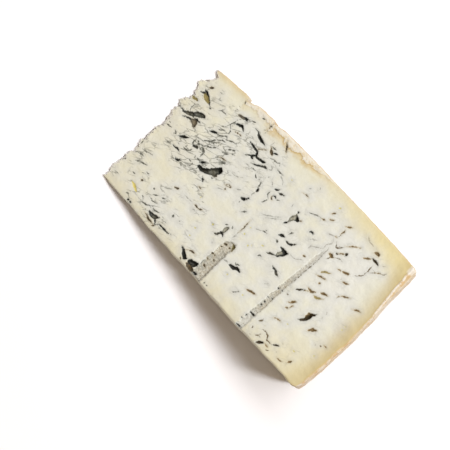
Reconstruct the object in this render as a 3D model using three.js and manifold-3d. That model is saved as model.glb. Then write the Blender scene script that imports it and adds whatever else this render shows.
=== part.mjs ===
// A wedge of blue-veined cheese cut from a wheel that was first halved through its height.
// It lies on one of its two long cut faces, so the other one slopes up from the tip to the rim.
// Millimetres, +Z up. +X runs from the thin tip, once the middle of the wheel, to the rim.
// +Y runs from the halved side, which is bare paste, to the flat side of the wheel, which is rind.
// The origin is on the resting surface, under the middle of the wedge's box.

import * as THREE from 'three';
import { mergeVertices } from 'three/addons/utils/BufferGeometryUtils.js';
import Module from 'manifold-3d';

// The wheel and the cuts.
const WHEEL_RADIUS = 154.7;
const HALF_HEIGHT = 82.8;
const WEDGE_ANGLE = THREE.MathUtils.degToRad(19.8);
const RIM_BULGE = 2.7;
const RIM_BULGE_SKEW = 0.55;
const RIM_LEAN = 2.8;
const RIND_SHOULDER = 1.4;
const HALVED_SHOULDER = 2.8;
const RIND_SIDE_BOW = 2.4;
const HALVED_SPREAD = 2.4;
const SPREAD_FULL_AT = 0.7;
const RIND_SPREAD = 2;
const ARRIS = 1.2;

// The broken tip: where the paste starts, how much it adds to the thickness, and where bits came off:
// distance from the halved side, half span, and how far the tip falls back there.
const TIP_RADIUS = 4.9;
const TIP_THICKNESS = 0.9;
const TIP_BREAKS = [
  [78.2, 3.4, 2.9],
  [71.8, 2.6, -2.9],
  [64.2, 2.2, 1.0],
  [58.0, 2.4, -2.5],
  [51.5, 2.5, -0.9],
  [42.4, 2.6, 1.5],
  [22.5, 1.8, 0.9],
  [8.5, 3.5, -1.1],
];

// Two steps where the knife slipped in the rind near the tip: distance from the wheel's axis, depth.
const RIND_STEPS = [[29, 2.4], [48, 1.3]];
const STEP_RECOVERY = 9;

// Relief of the upper cut face and of the halved side.
const FACE_RELIEF = 0.45;
const SIDE_RELIEF = 0.5;

// Channels left by the piercing needles, opened lengthwise by the cut: distance from the axis at the
// mouth and at the inner end, length, radius at the mouth and at the inner end, depth of the centre line.
const CHANNELS = [
  { mouth: 81, end: 81, length: 26, mouthRadius: 3.3, endRadius: 2.6, depth: 0.2 },
  { mouth: 115.6, end: 118.6, length: 56, mouthRadius: 1.9, endRadius: 0.8, depth: 0 },
];
const CHANNEL_SIDES = 10;
const CHANNEL_OVERRUN = 4;

// The largest eyes in the upper face: distance from the axis, distance from the halved side,
// half length, half width, depth, turn in degrees.
const EYES = [
  [40.5, 42.2, 4.4, 1.7, 4.0, 10],
  [46.6, 45.6, 4.2, 2.2, 4.5, 42],
  [73.5, 3.6, 5.0, 2.4, 5.0, 4],
  [67.5, 5.4, 3.2, 1.3, 3.0, -28],
  [11.8, 69.0, 3.4, 1.6, 1.6, -24],
  [15.8, 55.6, 4.2, 2.1, 2.0, 2],
  [41.0, 5.6, 3.2, 1.2, 3.0, -4],
  [58.0, 66.2, 4.6, 1.1, 3.5, 12],
  [49.2, 74.0, 3.0, 1.1, 3.0, -16],
  [94.4, 57.0, 3.2, 1.5, 2.5, 66],
  [103.2, 41.8, 3.0, 1.8, 3.0, 30],
  [92.2, 18.4, 3.1, 1.4, 3.0, 8],
  [136.6, 28.2, 3.8, 1.6, 4.0, 74],
  [137.4, 72.6, 3.4, 1.2, 2.0, 6],
  [72.6, 26.4, 3.0, 1.3, 2.0, 76],
];
const EYE_FACETS = [8, 6];

// Facets of the wedge: from tip to rim, from side to side, and from the lower to the upper cut face.
const FACETS = [40, 34, 5];

const paste = new THREE.MeshStandardMaterial({ color: 0xe2dfcd, roughness: 0.62, metalness: 0 });
const { clamp, degToRad, lerp, smoothstep } = THREE.MathUtils;

// A smooth hump of height 1 at the middle of 0 to 1.
function hump(u) {
  return 4 * u * (1 - u);
}

// Wandering of about 1 either way that never repeats evenly over a wedge's length.
function wander(u, phase) {
  return (Math.sin(u * 5.1 + phase) + 0.6 * Math.sin(u * 13.7 + 2.3 * phase) + 0.4 * Math.sin(u * 31 + phase)) / 2;
}

// Where the paste starts at the tip, for a place 0 to 1 from the halved side to the rind side.
function tipStart(t) {
  let start = TIP_RADIUS;
  for (const [at, span, loss] of TIP_BREAKS) {
    start += loss * Math.exp(-(((t * HALF_HEIGHT - at) / span) ** 2));
  }
  return start;
}

// The rind side: it bows out, and steps back where the knife slipped.
function rindSide(radius, s) {
  let y = HALF_HEIGHT + RIND_SIDE_BOW * hump(s) ** 0.6;
  for (const [at, depth] of RIND_STEPS) {
    if (radius > at) {
      y -= depth * (1 - smoothstep(radius, at, at + STEP_RECOVERY));
    }
  }
  return y;
}

// The halved side: nearly flat, a little uneven.
function halvedSide(s) {
  return SIDE_RELIEF * wander(s * 3, 0.4);
}

// Rounds the corner between two faces, given the distances to them.
function roundCorner(a, b, r) {
  if (a >= r || b >= r) {
    return [a, b];
  }
  const p = 1 - a / r;
  const q = 1 - b / r;
  const scale = Math.max(p, q) / Math.hypot(p, q);
  return [r * (1 - p * scale), r * (1 - q * scale)];
}

// A point of the wedge's surface, for s from tip to rim, t from side to side and w from face to face.
function place(s, t, w) {
  const inner = tipStart(t);
  const outer = WHEEL_RADIUS + RIM_BULGE * hump(t ** RIM_BULGE_SKEW) + RIM_LEAN * (2 * w - 1);
  let radius = lerp(inner, outer, s);
  const spread = smoothstep(s, 0, SPREAD_FULL_AT) * (1 - w);
  const low = halvedSide(s) - HALVED_SPREAD * spread;
  const high = rindSide(radius, s) + RIND_SPREAD * spread;
  let y = lerp(low, high, t);
  const fromRim = outer - radius;
  const nearHigh = t > 0.5;
  const fromSide = nearHigh ? high - y : y - low;
  const shoulder = nearHigh ? RIND_SHOULDER : HALVED_SHOULDER;
  const [rimGap, sideGap] = roundCorner(fromRim, fromSide, shoulder);
  radius = outer - rimGap;
  y = nearHigh ? high - sideGap : low + sideGap;
  const turn = WEDGE_ANGLE * w;
  let z = radius * Math.sin(turn) + TIP_THICKNESS * w;
  const onEdge = s === 0 || s === 1 || t === 0 || t === 1;
  if (w === 1) {
    z += FACE_RELIEF * wander(s * 4 + t, 0.9) * wander(t * 3 - s, 2.1);
    z -= onEdge ? ARRIS / 2 : 0;
  }
  if (w === 0 && onEdge) {
    z = ARRIS / 2;
  }
  return new THREE.Vector3(radius * Math.cos(turn), y, z);
}

// Sets the rows next to an edge close to it, and the rest evenly between them.
function grade(u, count, edge) {
  const k = Math.round(u * count);
  if (k === 0 || k === count) {
    return k / count;
  }
  return lerp(edge, 1 - edge, (k - 1) / (count - 2));
}

// The uncut wedge as one closed mesh whose neighbouring facets share their vertices.
function wedgeGeometry() {
  const box = new THREE.BoxGeometry(1, 1, 1, ...FACETS);
  box.deleteAttribute('normal');
  box.deleteAttribute('uv');
  const geometry = mergeVertices(box);
  const points = geometry.getAttribute('position');
  for (let i = 0; i < points.count; i += 1) {
    const s = grade(points.getX(i) + 0.5, FACETS[0], ARRIS / WHEEL_RADIUS);
    const t = grade(points.getY(i) + 0.5, FACETS[1], ARRIS / HALF_HEIGHT);
    const w = grade(points.getZ(i) + 0.5, FACETS[2], 0.05);
    const point = place(s, t, w);
    points.setXYZ(i, point.x, point.y, point.z);
  }
  return geometry;
}

// Turns a cutter made about its own origin so that its +Z stands square on the upper cut face.
function layOnFace(geometry, radius, y, depth, turn) {
  geometry.rotateZ(turn);
  geometry.translate(radius, y, -depth);
  geometry.rotateY(-WEDGE_ANGLE);
  geometry.translate(0, 0, TIP_THICKNESS);
  return geometry;
}

// A tapering needle channel that runs in from the halved side.
function channelGeometry({ mouth, end, length, mouthRadius, endRadius, depth }) {
  const run = length + CHANNEL_OVERRUN;
  const cone = new THREE.CylinderGeometry(endRadius, mouthRadius, run, CHANNEL_SIDES);
  return layOnFace(cone, (mouth + end) / 2, run / 2 - CHANNEL_OVERRUN, depth, Math.atan2(mouth - end, length));
}

// An eye: the lower half of a flattened ball, long one way.
function eyeGeometry([radius, y, halfLength, halfWidth, depth, turn]) {
  const ball = new THREE.SphereGeometry(1, ...EYE_FACETS);
  ball.rotateX(Math.PI / 2);
  ball.scale(halfLength, halfWidth, depth);
  return layOnFace(ball, radius, y, 0, degToRad(turn));
}

const wasm = await Module();
wasm.setup();

function toSolid(geometry) {
  geometry.deleteAttribute('normal');
  geometry.deleteAttribute('uv');
  const merged = mergeVertices(geometry);
  return new wasm.Manifold(new wasm.Mesh({
    numProp: 3,
    vertProperties: Float32Array.from(merged.getAttribute('position').array),
    triVerts: Uint32Array.from(merged.getIndex().array),
  }));
}

function toGeometry(solid) {
  const mesh = solid.getMesh();
  const geometry = new THREE.BufferGeometry();
  geometry.setAttribute('position', new THREE.BufferAttribute(mesh.vertProperties, 3));
  geometry.setIndex(new THREE.BufferAttribute(mesh.triVerts, 1));
  geometry.computeVertexNormals();
  return geometry;
}

let solid = toSolid(wedgeGeometry());
for (const channel of CHANNELS) {
  solid = solid.subtract(toSolid(channelGeometry(channel)));
}
for (const eye of EYES) {
  solid = solid.subtract(toSolid(eyeGeometry(eye)));
}

// Brings the origin under the middle of the box, on the surface that the wedge rests on.
const geometry = toGeometry(solid);
geometry.computeBoundingBox();
const middle = geometry.boundingBox.getCenter(new THREE.Vector3());
geometry.translate(-middle.x, -middle.y, -geometry.boundingBox.min.z);

const wedge = new THREE.Mesh(geometry, paste);
wedge.name = 'cheese_wedge';

const group = new THREE.Group();
group.name = 'blue_cheese_wedge';
group.add(wedge);

export default group;
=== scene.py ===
"""A wedge of blue-veined cheese, lying on one of its two long cut faces.

Sizes are in millimetres until a mesh is finished, and in metres after that. A place in the paste is
given as it lay in the wheel: its distance from the wheel's axis, its distance from the halved side,
and how far it lies under the upper cut face.
"""

import math
import random

import bpy
import numpy as np
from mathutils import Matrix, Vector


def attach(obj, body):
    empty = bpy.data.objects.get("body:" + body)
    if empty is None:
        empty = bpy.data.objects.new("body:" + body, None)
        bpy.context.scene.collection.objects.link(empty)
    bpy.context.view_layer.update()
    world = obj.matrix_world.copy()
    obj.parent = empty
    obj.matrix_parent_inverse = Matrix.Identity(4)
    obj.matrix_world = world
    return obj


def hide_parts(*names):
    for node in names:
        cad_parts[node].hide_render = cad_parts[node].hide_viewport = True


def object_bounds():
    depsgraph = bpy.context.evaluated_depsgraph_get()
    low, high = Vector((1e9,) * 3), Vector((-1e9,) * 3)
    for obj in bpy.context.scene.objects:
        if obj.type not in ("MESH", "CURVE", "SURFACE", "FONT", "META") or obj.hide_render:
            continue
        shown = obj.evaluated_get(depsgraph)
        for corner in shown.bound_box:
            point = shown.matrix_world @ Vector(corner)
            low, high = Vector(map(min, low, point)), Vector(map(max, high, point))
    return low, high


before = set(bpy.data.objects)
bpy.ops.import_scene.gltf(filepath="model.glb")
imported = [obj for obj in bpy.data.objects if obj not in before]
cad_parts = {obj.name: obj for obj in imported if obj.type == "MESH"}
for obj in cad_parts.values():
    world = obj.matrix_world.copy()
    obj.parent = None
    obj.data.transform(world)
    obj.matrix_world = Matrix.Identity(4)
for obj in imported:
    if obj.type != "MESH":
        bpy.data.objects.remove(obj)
CAD_LOW, CAD_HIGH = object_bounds()

MM = 0.001
TINY = 1e-6

# The wheel, the cuts and the crumbled tip.
WEDGE = {
    "Wheel radius": 154.7,
    "Half height": 82.8,
    "Wedge angle": math.radians(19.8),
    "Rim bulge": 2.7,
    "Rim bulge skew": 0.55,
    "Rim lean": 2.8,
    "Rind shoulder": 1.4,
    "Halved shoulder": 2.8,
    "Rind side bow": 2.4,
    "Halved side spread": 2.4,
    "Rind side spread": 2.0,
    "Spread full at": 0.7,
    "Arris": 0.9,
    "Tip radius": 4.9,
    "Tip thickness": 0.9,
    "Tip teeth": 4.2,
    "Tooth lean": 0.5,
    "Tip arris": 0.8,
    "Tip foot": 0.9,
    "Step 1 at": 29.0,
    "Step 1 depth": 2.4,
    "Step 2 at": 48.0,
    "Step 2 depth": 1.3,
    "Step recovery": 9.0,
    "Step fade": 14.0,
    "Rind chips": 0.7,
    "Rind chip lean": 12.0,
    "Rim chips": 1.1,
    "Rim height": 60.0,
    "Face relief": 0.45,
    "Side relief": 0.5,
    "Channel 1 mouth": 80.8,
    "Channel 1 end": 80.8,
    "Channel 1 length": 26.5,
    "Channel 1 mouth radius": 3.5,
    "Channel 1 end radius": 2.7,
    "Channel 2 mouth": 115.6,
    "Channel 2 end": 117.4,
    "Channel 2 length": 57.0,
    "Channel 2 mouth radius": 2.0,
    "Channel 2 end radius": 0.75,
    "End slant": 0.3,
    "Wall steepness": 1.6,
    "Wall raggedness": 3.2,
    "End raggedness": 4.0,
    "Crumb bed": 0.55,
    "Bed relief": 0.5,
}
# Over what run a channel closes at its inner end, and a place in the wheel between both channels.
CHANNEL_CLOSING = (-0.4, 1.6)
BETWEEN_CHANNELS = 100.0
# Where the tip has broken: distance from the halved side, half span, and how far it falls back there.
# It stands out where that is negative.
TIP_BREAKS = [
    (78.2, 3.4, 2.9),
    (71.8, 2.6, -2.9),
    (64.2, 2.2, 1.0),
    (58.0, 2.4, -2.5),
    (54.8, 0.8, 0.9),
    (51.5, 2.5, -0.9),
    (42.4, 2.6, 1.5),
    (20.9, 0.8, 1.6),
    (24.0, 2.0, 0.6),
    (8.5, 3.5, -1.1),
]
# How far the CAD wedge reaches: out past the halved side at its foot, and out from the wheel's axis.
FOOT_STANDS_OUT = 2.823
RIM_STANDS_AT = 155.416
MIDDLE_X = RIM_STANDS_AT - CAD_HIGH[0] / MM
MIDDLE_Y = -FOOT_STANDS_OUT - CAD_LOW[1] / MM

# Facets of the wedge: along it and across it on the upper face, and then the rows of its sides. A few
# fine rows lie under the upper face. Shares are of the height: of a fine row, and of the lowest one.
FACETS_ALONG = 344
FACETS_ACROSS = 188
FINE_ROWS = 3
COARSE_ROWS = 44
FINE_ROW_SHARE = 0.009
LAST_ROW_SHARE = 0.012

# The largest eyes in the upper cut face: each one's kind, and then points given as distance from the
# axis, distance from the halved side, and half width there.
SHAPED_EYES = [
    ("black", (37.6, 40.6, 0.9), (39.2, 40.4, 1.15), (41.3, 41, 1.25), (42.8, 41.8, 1.3)),
    ("grey", (43.2, 42.1, 1.4), (45, 43.5, 2), (46.2, 44.5, 2.4)),
    ("black", (46.9, 45.6, 2), (47.2, 46.7, 1.6), (47, 48, 0.8)),
    ("olive", (47.4, 42.9, 0.5), (48.6, 43.5, 0.5)),
    ("black", (36.3, 42.2, 0.4), (37.4, 43.2, 0.75), (38.8, 44.2, 0.35)),
    ("tan", (9.4, 68.9, 0.5), (11.6, 68.2, 1.2), (13.6, 67.4, 0.9), (15, 66.7, 0.3)),
    ("black", (8.2, 70.4, 0.3), (10.3, 70.1, 0.7), (12.5, 69.2, 0.5), (15, 67.4, 0.45),
     (16.6, 66.3, 0.2)),
    ("grey", (17, 66.1, 0.2), (17.9, 65.7, 0.5)),
    ("grey", (6.9, 68.2, 0.2), (8.4, 68.7, 0.6), (9.2, 69.3, 0.5)),
    ("grey", (13.6, 57.8, 0.6), (15.2, 58.6, 1.45), (16.7, 59.4, 1.35), (18.4, 60, 1),
     (19.8, 59.9, 0.3)),
    ("grey", (8, 54.4, 0.4), (10.4, 55.4, 0.9), (12.6, 56.4, 1.25), (14.6, 57.1, 0.8),
     (16.8, 58.5, 0.2)),
    ("olive", (15.6, 54.3, 0.8), (17.2, 54.6, 1.6), (18.2, 53.7, 1.3), (19.4, 52.9, 0.6),
     (20.2, 52.3, 0.15)),
    ("black", (16.6, 55.6, 0.6), (17.4, 56.2, 0.7), (18.8, 56.4, 0.35), (20.4, 56.4, 0.2)),
    ("grey", (10, 52.5, 0.3), (12.3, 53.6, 0.45), (14.4, 54.3, 0.5)),
    ("tan", (5.2, 63.8, 0.35), (7.4, 63.4, 0.65), (9.3, 63.6, 0.6)),
    ("black", (9.2, 63.7, 0.45), (10.6, 63.7, 0.2)),
    ("black", (16.7, 43.8, 0.15), (18.3, 44.4, 0.6), (19.8, 45.4, 0.75), (21, 46.3, 0.5),
     (22.1, 47.1, 0.12)),
    ("black", (26.8, 56.9, 0.2), (28.2, 57.9, 0.6), (29.6, 58.7, 0.6), (31, 59.5, 0.2)),
    ("olive", (31.4, 73.9, 0.3), (33, 74.2, 0.75), (34.6, 74.5, 0.8)),
    ("black", (34.8, 74.6, 0.6), (36.3, 75.3, 0.75), (38, 74.4, 0.2)),
    ("black", (34.4, 69.9, 0.3), (36.2, 70.7, 0.75), (38, 71, 0.6), (39.2, 70.1, 0.25),
     (40.8, 69.4, 0.12)),
    ("black", (43.8, 75.2, 0.2), (46.3, 75, 0.35), (48, 74, 0.8), (50.3, 73.3, 0.9), (52.2, 73, 0.45)),
    ("black", (52.2, 73, 0.4), (54.4, 72.7, 0.12)),
    ("brown", (57.2, 74.4, 0.2), (58.4, 73.2, 0.6), (59.8, 72.4, 0.7), (60.9, 71.7, 0.25)),
    ("black", (60.4, 72.9, 0.25), (61.6, 73.7, 0.6), (62.8, 74, 0.25)),
    ("black", (46.8, 68.7, 0.3), (48.3, 68.3, 0.45), (50.6, 67.9, 0.5), (53.6, 67.9, 0.5)),
    ("black", (53.7, 67.8, 0.45), (54.7, 66.4, 0.6), (55.6, 65.7, 0.6), (57, 65.5, 0.5)),
    ("black", (57, 65.5, 0.55), (58.5, 65.8, 0.8), (60, 66, 0.65), (61.6, 66.8, 0.15)),
    ("black", (54.6, 65.6, 0.5), (53.5, 64.5, 0.6), (53.6, 63.8, 0.7), (55, 63.3, 0.3)),
    ("grey", (53.2, 64.3, 0.5), (51.6, 63, 0.4), (50, 61.6, 0.12)),
    ("grey", (55.6, 61.1, 0.15), (58, 61.9, 0.4), (60.5, 63.3, 0.5), (62.5, 64.6, 0.5),
     (64.8, 65, 0.15)),
    ("black", (63.6, 6, 0.3), (64.8, 5.7, 0.5), (66.4, 4.8, 0.8), (68, 3.7, 1.2), (69.2, 2.7, 0.9)),
    ("grey", (69.4, 2.6, 0.7), (70.2, 3.4, 0.4)),
    ("black", (71.5, 3.2, 0.4), (72.9, 3.7, 1.2), (74.4, 4.1, 1.5), (75.8, 4.8, 1.4), (76.4, 5.9, 0.7)),
    ("brown", (72.2, 2, 0.5), (74.4, 1.6, 1.3), (76.2, 1.5, 1.1), (77.6, 1.2, 0.5)),
    ("black", (78.2, 1.2, 0.3), (79.3, 1.4, 0.8), (80.2, 2, 0.2)),
    ("black", (88.2, 17.5, 0.25), (89.8, 17.8, 0.8), (91.4, 18.2, 0.9), (92.6, 18.9, 0.9),
     (95.4, 18.6, 0.3)),
    ("grey", (70.6, 22.6, 0.35), (71.9, 23.7, 0.6), (72.3, 24.7, 0.4)),
    ("black", (72.2, 24.9, 0.3), (73, 25.7, 0.6), (74.8, 24.9, 0.25)),
    ("dusty", (73.4, 26.8, 0.8), (73.3, 28, 1.1), (73.5, 29.3, 0.9)),
    ("dusty", (93.3, 60.4, 0.3), (93.6, 59, 0.8), (93.6, 57.6, 1.2), (93.2, 56, 0.9), (93, 54.6, 0.6)),
    ("black", (93.6, 59.2, 0.5), (94.9, 58.2, 1.1), (96.1, 58.1, 0.7), (97, 58.4, 0.25)),
    ("black", (92.9, 53.6, 0.3), (92.4, 52.8, 0.5), (91.8, 51.9, 0.15)),
    ("black", (100.2, 42.7, 0.3), (102.2, 42.4, 0.75), (104.2, 42.1, 1), (105.6, 42.9, 0.25)),
    ("black", (104.4, 41.5, 0.8), (103.8, 40.3, 0.6), (102.8, 38.8, 0.5), (101.9, 37.7, 0.25)),
    ("dusty", (102.9, 41, 0.8), (102.2, 39.8, 1), (101.5, 38.4, 0.4)),
    ("grey", (101.4, 37.9, 0.2), (100, 37, 0.4), (98.7, 36.4, 0.5), (97.2, 35.3, 0.15)),
    ("black", (94.6, 46.1, 0.2), (95.8, 47, 0.75), (96.7, 47.4, 0.65), (97.8, 47.4, 0.2)),
    ("black", (100.1, 46.6, 0.3), (101.8, 46.7, 0.5), (103.2, 47.4, 0.55), (104.2, 48.4, 0.4),
     (104.9, 49.4, 0.12)),
    ("grey", (104.3, 33.2, 0.2), (105.6, 32.8, 0.4), (107.2, 32.6, 0.5), (108.8, 31.8, 0.55),
     (110.6, 31.4, 0.2)),
    ("black", (133.8, 24, 0.2), (135, 25.3, 0.6), (136.2, 26.8, 1), (136.8, 28.5, 1.3),
     (137, 30.1, 1.2)),
    ("black", (137.1, 30.6, 1), (137.9, 31.6, 0.7), (138.9, 33.1, 0.12)),
    ("brown", (135.4, 27.9, 0.5), (135.9, 30.4, 0.7)),
    ("brown", (141.3, 23.9, 0.2), (142.3, 25.3, 0.6), (143, 26.3, 1), (144.7, 27.1, 0.4)),
    ("black", (122, 34, 0.4), (123.1, 34.6, 0.55), (124.2, 35.7, 0.45), (125.4, 36.6, 0.35)),
    ("tan", (125.6, 36.5, 0.3), (127, 37.4, 0.3)),
    ("brown", (125.1, 38.8, 0.2), (126.7, 38.5, 0.55), (128.1, 38.5, 0.65), (129, 39.2, 0.5),
     (130, 39.9, 0.2)),
    ("tan", (131, 38.2, 0.4), (132.1, 38.2, 0.75), (133.4, 38.9, 0.6), (135.4, 40.2, 0.15)),
    ("brown", (131.8, 41.5, 0.3), (132.9, 41.9, 0.8), (134.2, 42.5, 0.75), (135.8, 43.1, 0.15)),
    ("tan", (124.2, 48.9, 0.3), (125.3, 49.9, 0.75), (126.6, 50.7, 0.5), (128.4, 52.1, 0.2)),
    ("brown", (131.6, 56.4, 0.3), (132.8, 56.9, 0.75), (134.1, 57.6, 0.7), (135, 58.3, 0.2)),
    ("brown", (120, 58.3, 0.4), (121.3, 58.2, 1), (122.1, 57.8, 0.7), (123.1, 58.1, 0.3)),
    ("grey", (36.9, 5.6, 0.3), (38.7, 5.4, 0.9), (41, 5.6, 1.2), (43.6, 6.9, 0.5)),
    ("tan", (82.3, 26.2, 0.4), (83.3, 25.3, 0.7), (83.9, 23.8, 0.5), (84.2, 22.8, 0.25)),
    ("grey", (27, 45.9, 0.6), (28.5, 46.6, 0.8), (29.6, 46.3, 0.3)),
]

# Smaller marks, each a half width and then points given as distance from the axis and distance from
# the halved side. Black eyes are deep and lined with old, dark mould.
BLACK_EYES = [
    (0.4, (5, 55.1), (8, 55), (10, 55.6)), (0.35, (47.2, 41.3)),
    (0.55, (43.5, 37.7), (44.6, 37.1), (45.3, 36.7)), (0.4, (41.8, 5.5), (43.5, 4.4), (45, 2.7)),
    (0.45, (45, 2.7), (46, 4.4), (48, 5), (52, 5.1), (54.8, 5.8)), (0.6, (23.9, 1.6)),
    (0.6, (25.7, 1.5)), (0.8, (66.3, 45.5), (67.5, 45.8), (68.5, 46.3)), (0.5, (69.3, 47.7)),
    (0.6, (69.2, 53.2), (69.2, 54.5)), (0.45, (77.3, 57.8), (78.3, 58.3), (79.4, 57.6)),
    (0.55, (75.2, 60.6), (76.5, 61.5), (77.3, 62.3)), (0.5, (78.4, 60.9), (80.3, 61.6), (81.2, 62.2)),
    (0.45, (93.2, 61.3)), (0.55, (104.5, 58.3), (105.6, 59.2), (106.8, 59)),
    (0.75, (137, 71.7), (139, 71.8), (141.6, 71.5)), (0.8, (126.3, 63.8)), (0.6, (122.8, 60.8)),
    (0.8, (128, 1.5), (129, 2.3), (130, 3.3)), (0.55, (135, 6.8), (136, 7.7), (137.3, 8.2)),
    (0.5, (18.5, 38.2), (20.5, 38.5), (22, 38.7), (24, 38.1)),
    (0.55, (25, 34.8), (26, 34.4), (27.5, 35.6), (28.6, 35.8)), (0.55, (114.5, 9.5), (117, 9.3)),
    (0.5, (114, 0.2), (116.5, 0.5)), (0.45, (114, 7)), (0.4, (113.8, 4)), (0.5, (115.5, 15.8)),
    (0.45, (115.5, 18)), (0.4, (115, 21)), (0.4, (117, 22)), (0.4, (117.5, 28)), (0.4, (115.5, 27.5)),
]

# Brown eyes are shallower, and their lining is younger and tinted by the paste.
BROWN_EYES = [
    (0.65, (10.3, 74.3), (9.2, 73.3)), (0.35, (43.5, 1.3), (45, 2.7)),
    (0.5, (36, 3.4), (38, 3.1), (40, 2.4), (44, 2.7)), (0.4, (67.5, 1.5), (68.2, 0.8)),
    (0.5, (97.6, 59.2)), (0.65, (104.3, 15.5), (106, 15.9), (107.5, 16.5), (109.5, 16.9)),
    (0.5, (37, 24), (38.2, 24.3), (39.3, 24.9)), (0.55, (51.8, 25.2), (54.3, 25.3)),
    (0.45, (55.2, 25.5), (56.6, 26.3)), (0.55, (21.3, 13.8)),
    (0.4, (49, 83.2), (49.1, 81.3), (49, 79.8)),
    (0.5, (61, 82.1), (62.3, 81), (63.3, 79.9), (64.2, 78.7), (65.2, 77.7)),
    (0.45, (105.8, 72.8), (107, 74.5)), (0.4, (107, 70.2), (108, 70.5), (109.3, 71.3)),
    (0.45, (104.3, 67.6), (105.5, 68)), (0.4, (117, 71.8), (117, 69)), (0.5, (115.8, 73.5), (118, 75)),
    (0.4, (116.3, 66.3)), (0.45, (123.3, 66.7), (125, 68), (127, 70), (128.7, 71.2)),
    (0.4, (123.3, 61.2), (125.3, 63)), (0.9, (136, 74.6), (137, 75.3), (138, 74.8)),
    (0.55, (134, 69), (135.5, 70.3), (137, 71.6)), (0.45, (143.8, 68.3), (145.5, 69.3)),
    (0.35, (129, 55.7), (130.7, 55.9)), (0.5, (135.6, 53.1), (136.6, 53.5), (138.2, 54.2)),
    (0.5, (139.6, 46.6), (140.5, 48), (142, 49.1), (144.2, 50.3)),
    (0.55, (149, 47.4), (151, 48.4), (152.8, 49)), (0.5, (123.5, 46), (126, 46.8), (128.7, 47.7)),
    (0.5, (127.8, 44.3)), (0.7, (124.2, 26.9), (125.3, 28), (126.4, 29.2)),
    (0.4, (127, 27), (126.7, 25.7)), (0.55, (125.3, 23.8), (126.5, 25)),
    (0.45, (125, 16), (126.5, 16.8), (128.5, 17.2)), (0.5, (131.5, 4), (133.5, 4)),
    (0.45, (141, 3.7), (143, 3.7), (144.3, 4.5)), (0.6, (146.2, 6.3), (147.3, 8)),
    (0.45, (153, 24.8), (154.5, 25)), (0.65, (112, 48.3)),
    (0.45, (66.8, 6.4), (68, 7.3), (70, 8.2), (72.2, 8.5)),
    (0.3, (55, 43.7), (56.3, 45.2), (58.5, 44.9), (57, 44.3), (55, 43.7)), (0.55, (57, 42.3)),
    (0.35, (45.8, 33.3), (48, 33.2)), (0.45, (42, 51.8), (43.5, 52.1), (45.3, 52.5)),
    (0.45, (37, 66.4), (38.2, 66.8), (39.5, 67.2), (41.3, 67.3)),
    (0.3, (52, 68), (54, 69.5), (56, 71), (57.3, 72.2)), (0.35, (87.3, 69.8), (89, 70.2), (91, 70)),
    (0.5, (82.2, 23.4)), (0.6, (78.9, 22.9), (79.8, 23.5)), (0.5, (78.3, 20.8)),
    (0.4, (77.6, 15), (78.6, 15.2)), (0.4, (79.5, 15.4)), (0.4, (80.2, 13.8), (81, 13.2), (82.2, 12.7)),
    (0.4, (77.8, 11.6), (78.8, 11.2)), (0.45, (79, 8.1), (80.6, 7.2)),
    (0.4, (77.2, 57.2), (77.6, 56.2), (78.8, 55.9)),
    (0.3, (79, 41), (79.1, 38), (79.2, 35), (79.2, 32.5)),
]

# Small spots of yellow and olive mould.
YELLOW_SPOTS = [
    (0.85, (18.2, 9.4), (20.5, 9), (22, 8.4), (23.5, 7.9)), (0.45, (78, 70.2)), (0.5, (66.7, 25.3)),
    (0.45, (61.3, 17.4)), (0.4, (62.3, 12.8)), (0.45, (91.6, 13.4)), (0.5, (106.7, 77.7)),
    (0.45, (105, 12.2)), (0.4, (92.5, 36.3), (93.5, 36.8)), (0.4, (89.2, 32.3)), (0.4, (87.7, 31)),
    (0.45, (124.8, 10)), (0.45, (144.3, 12)), (0.4, (153, 36.5)), (0.4, (153, 38.7)),
    (0.4, (153, 17.8)), (0.4, (132, 19)), (0.4, (51, 30)), (0.4, (82, 33.7)), (0.4, (81.7, 38.4)),
]

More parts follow.
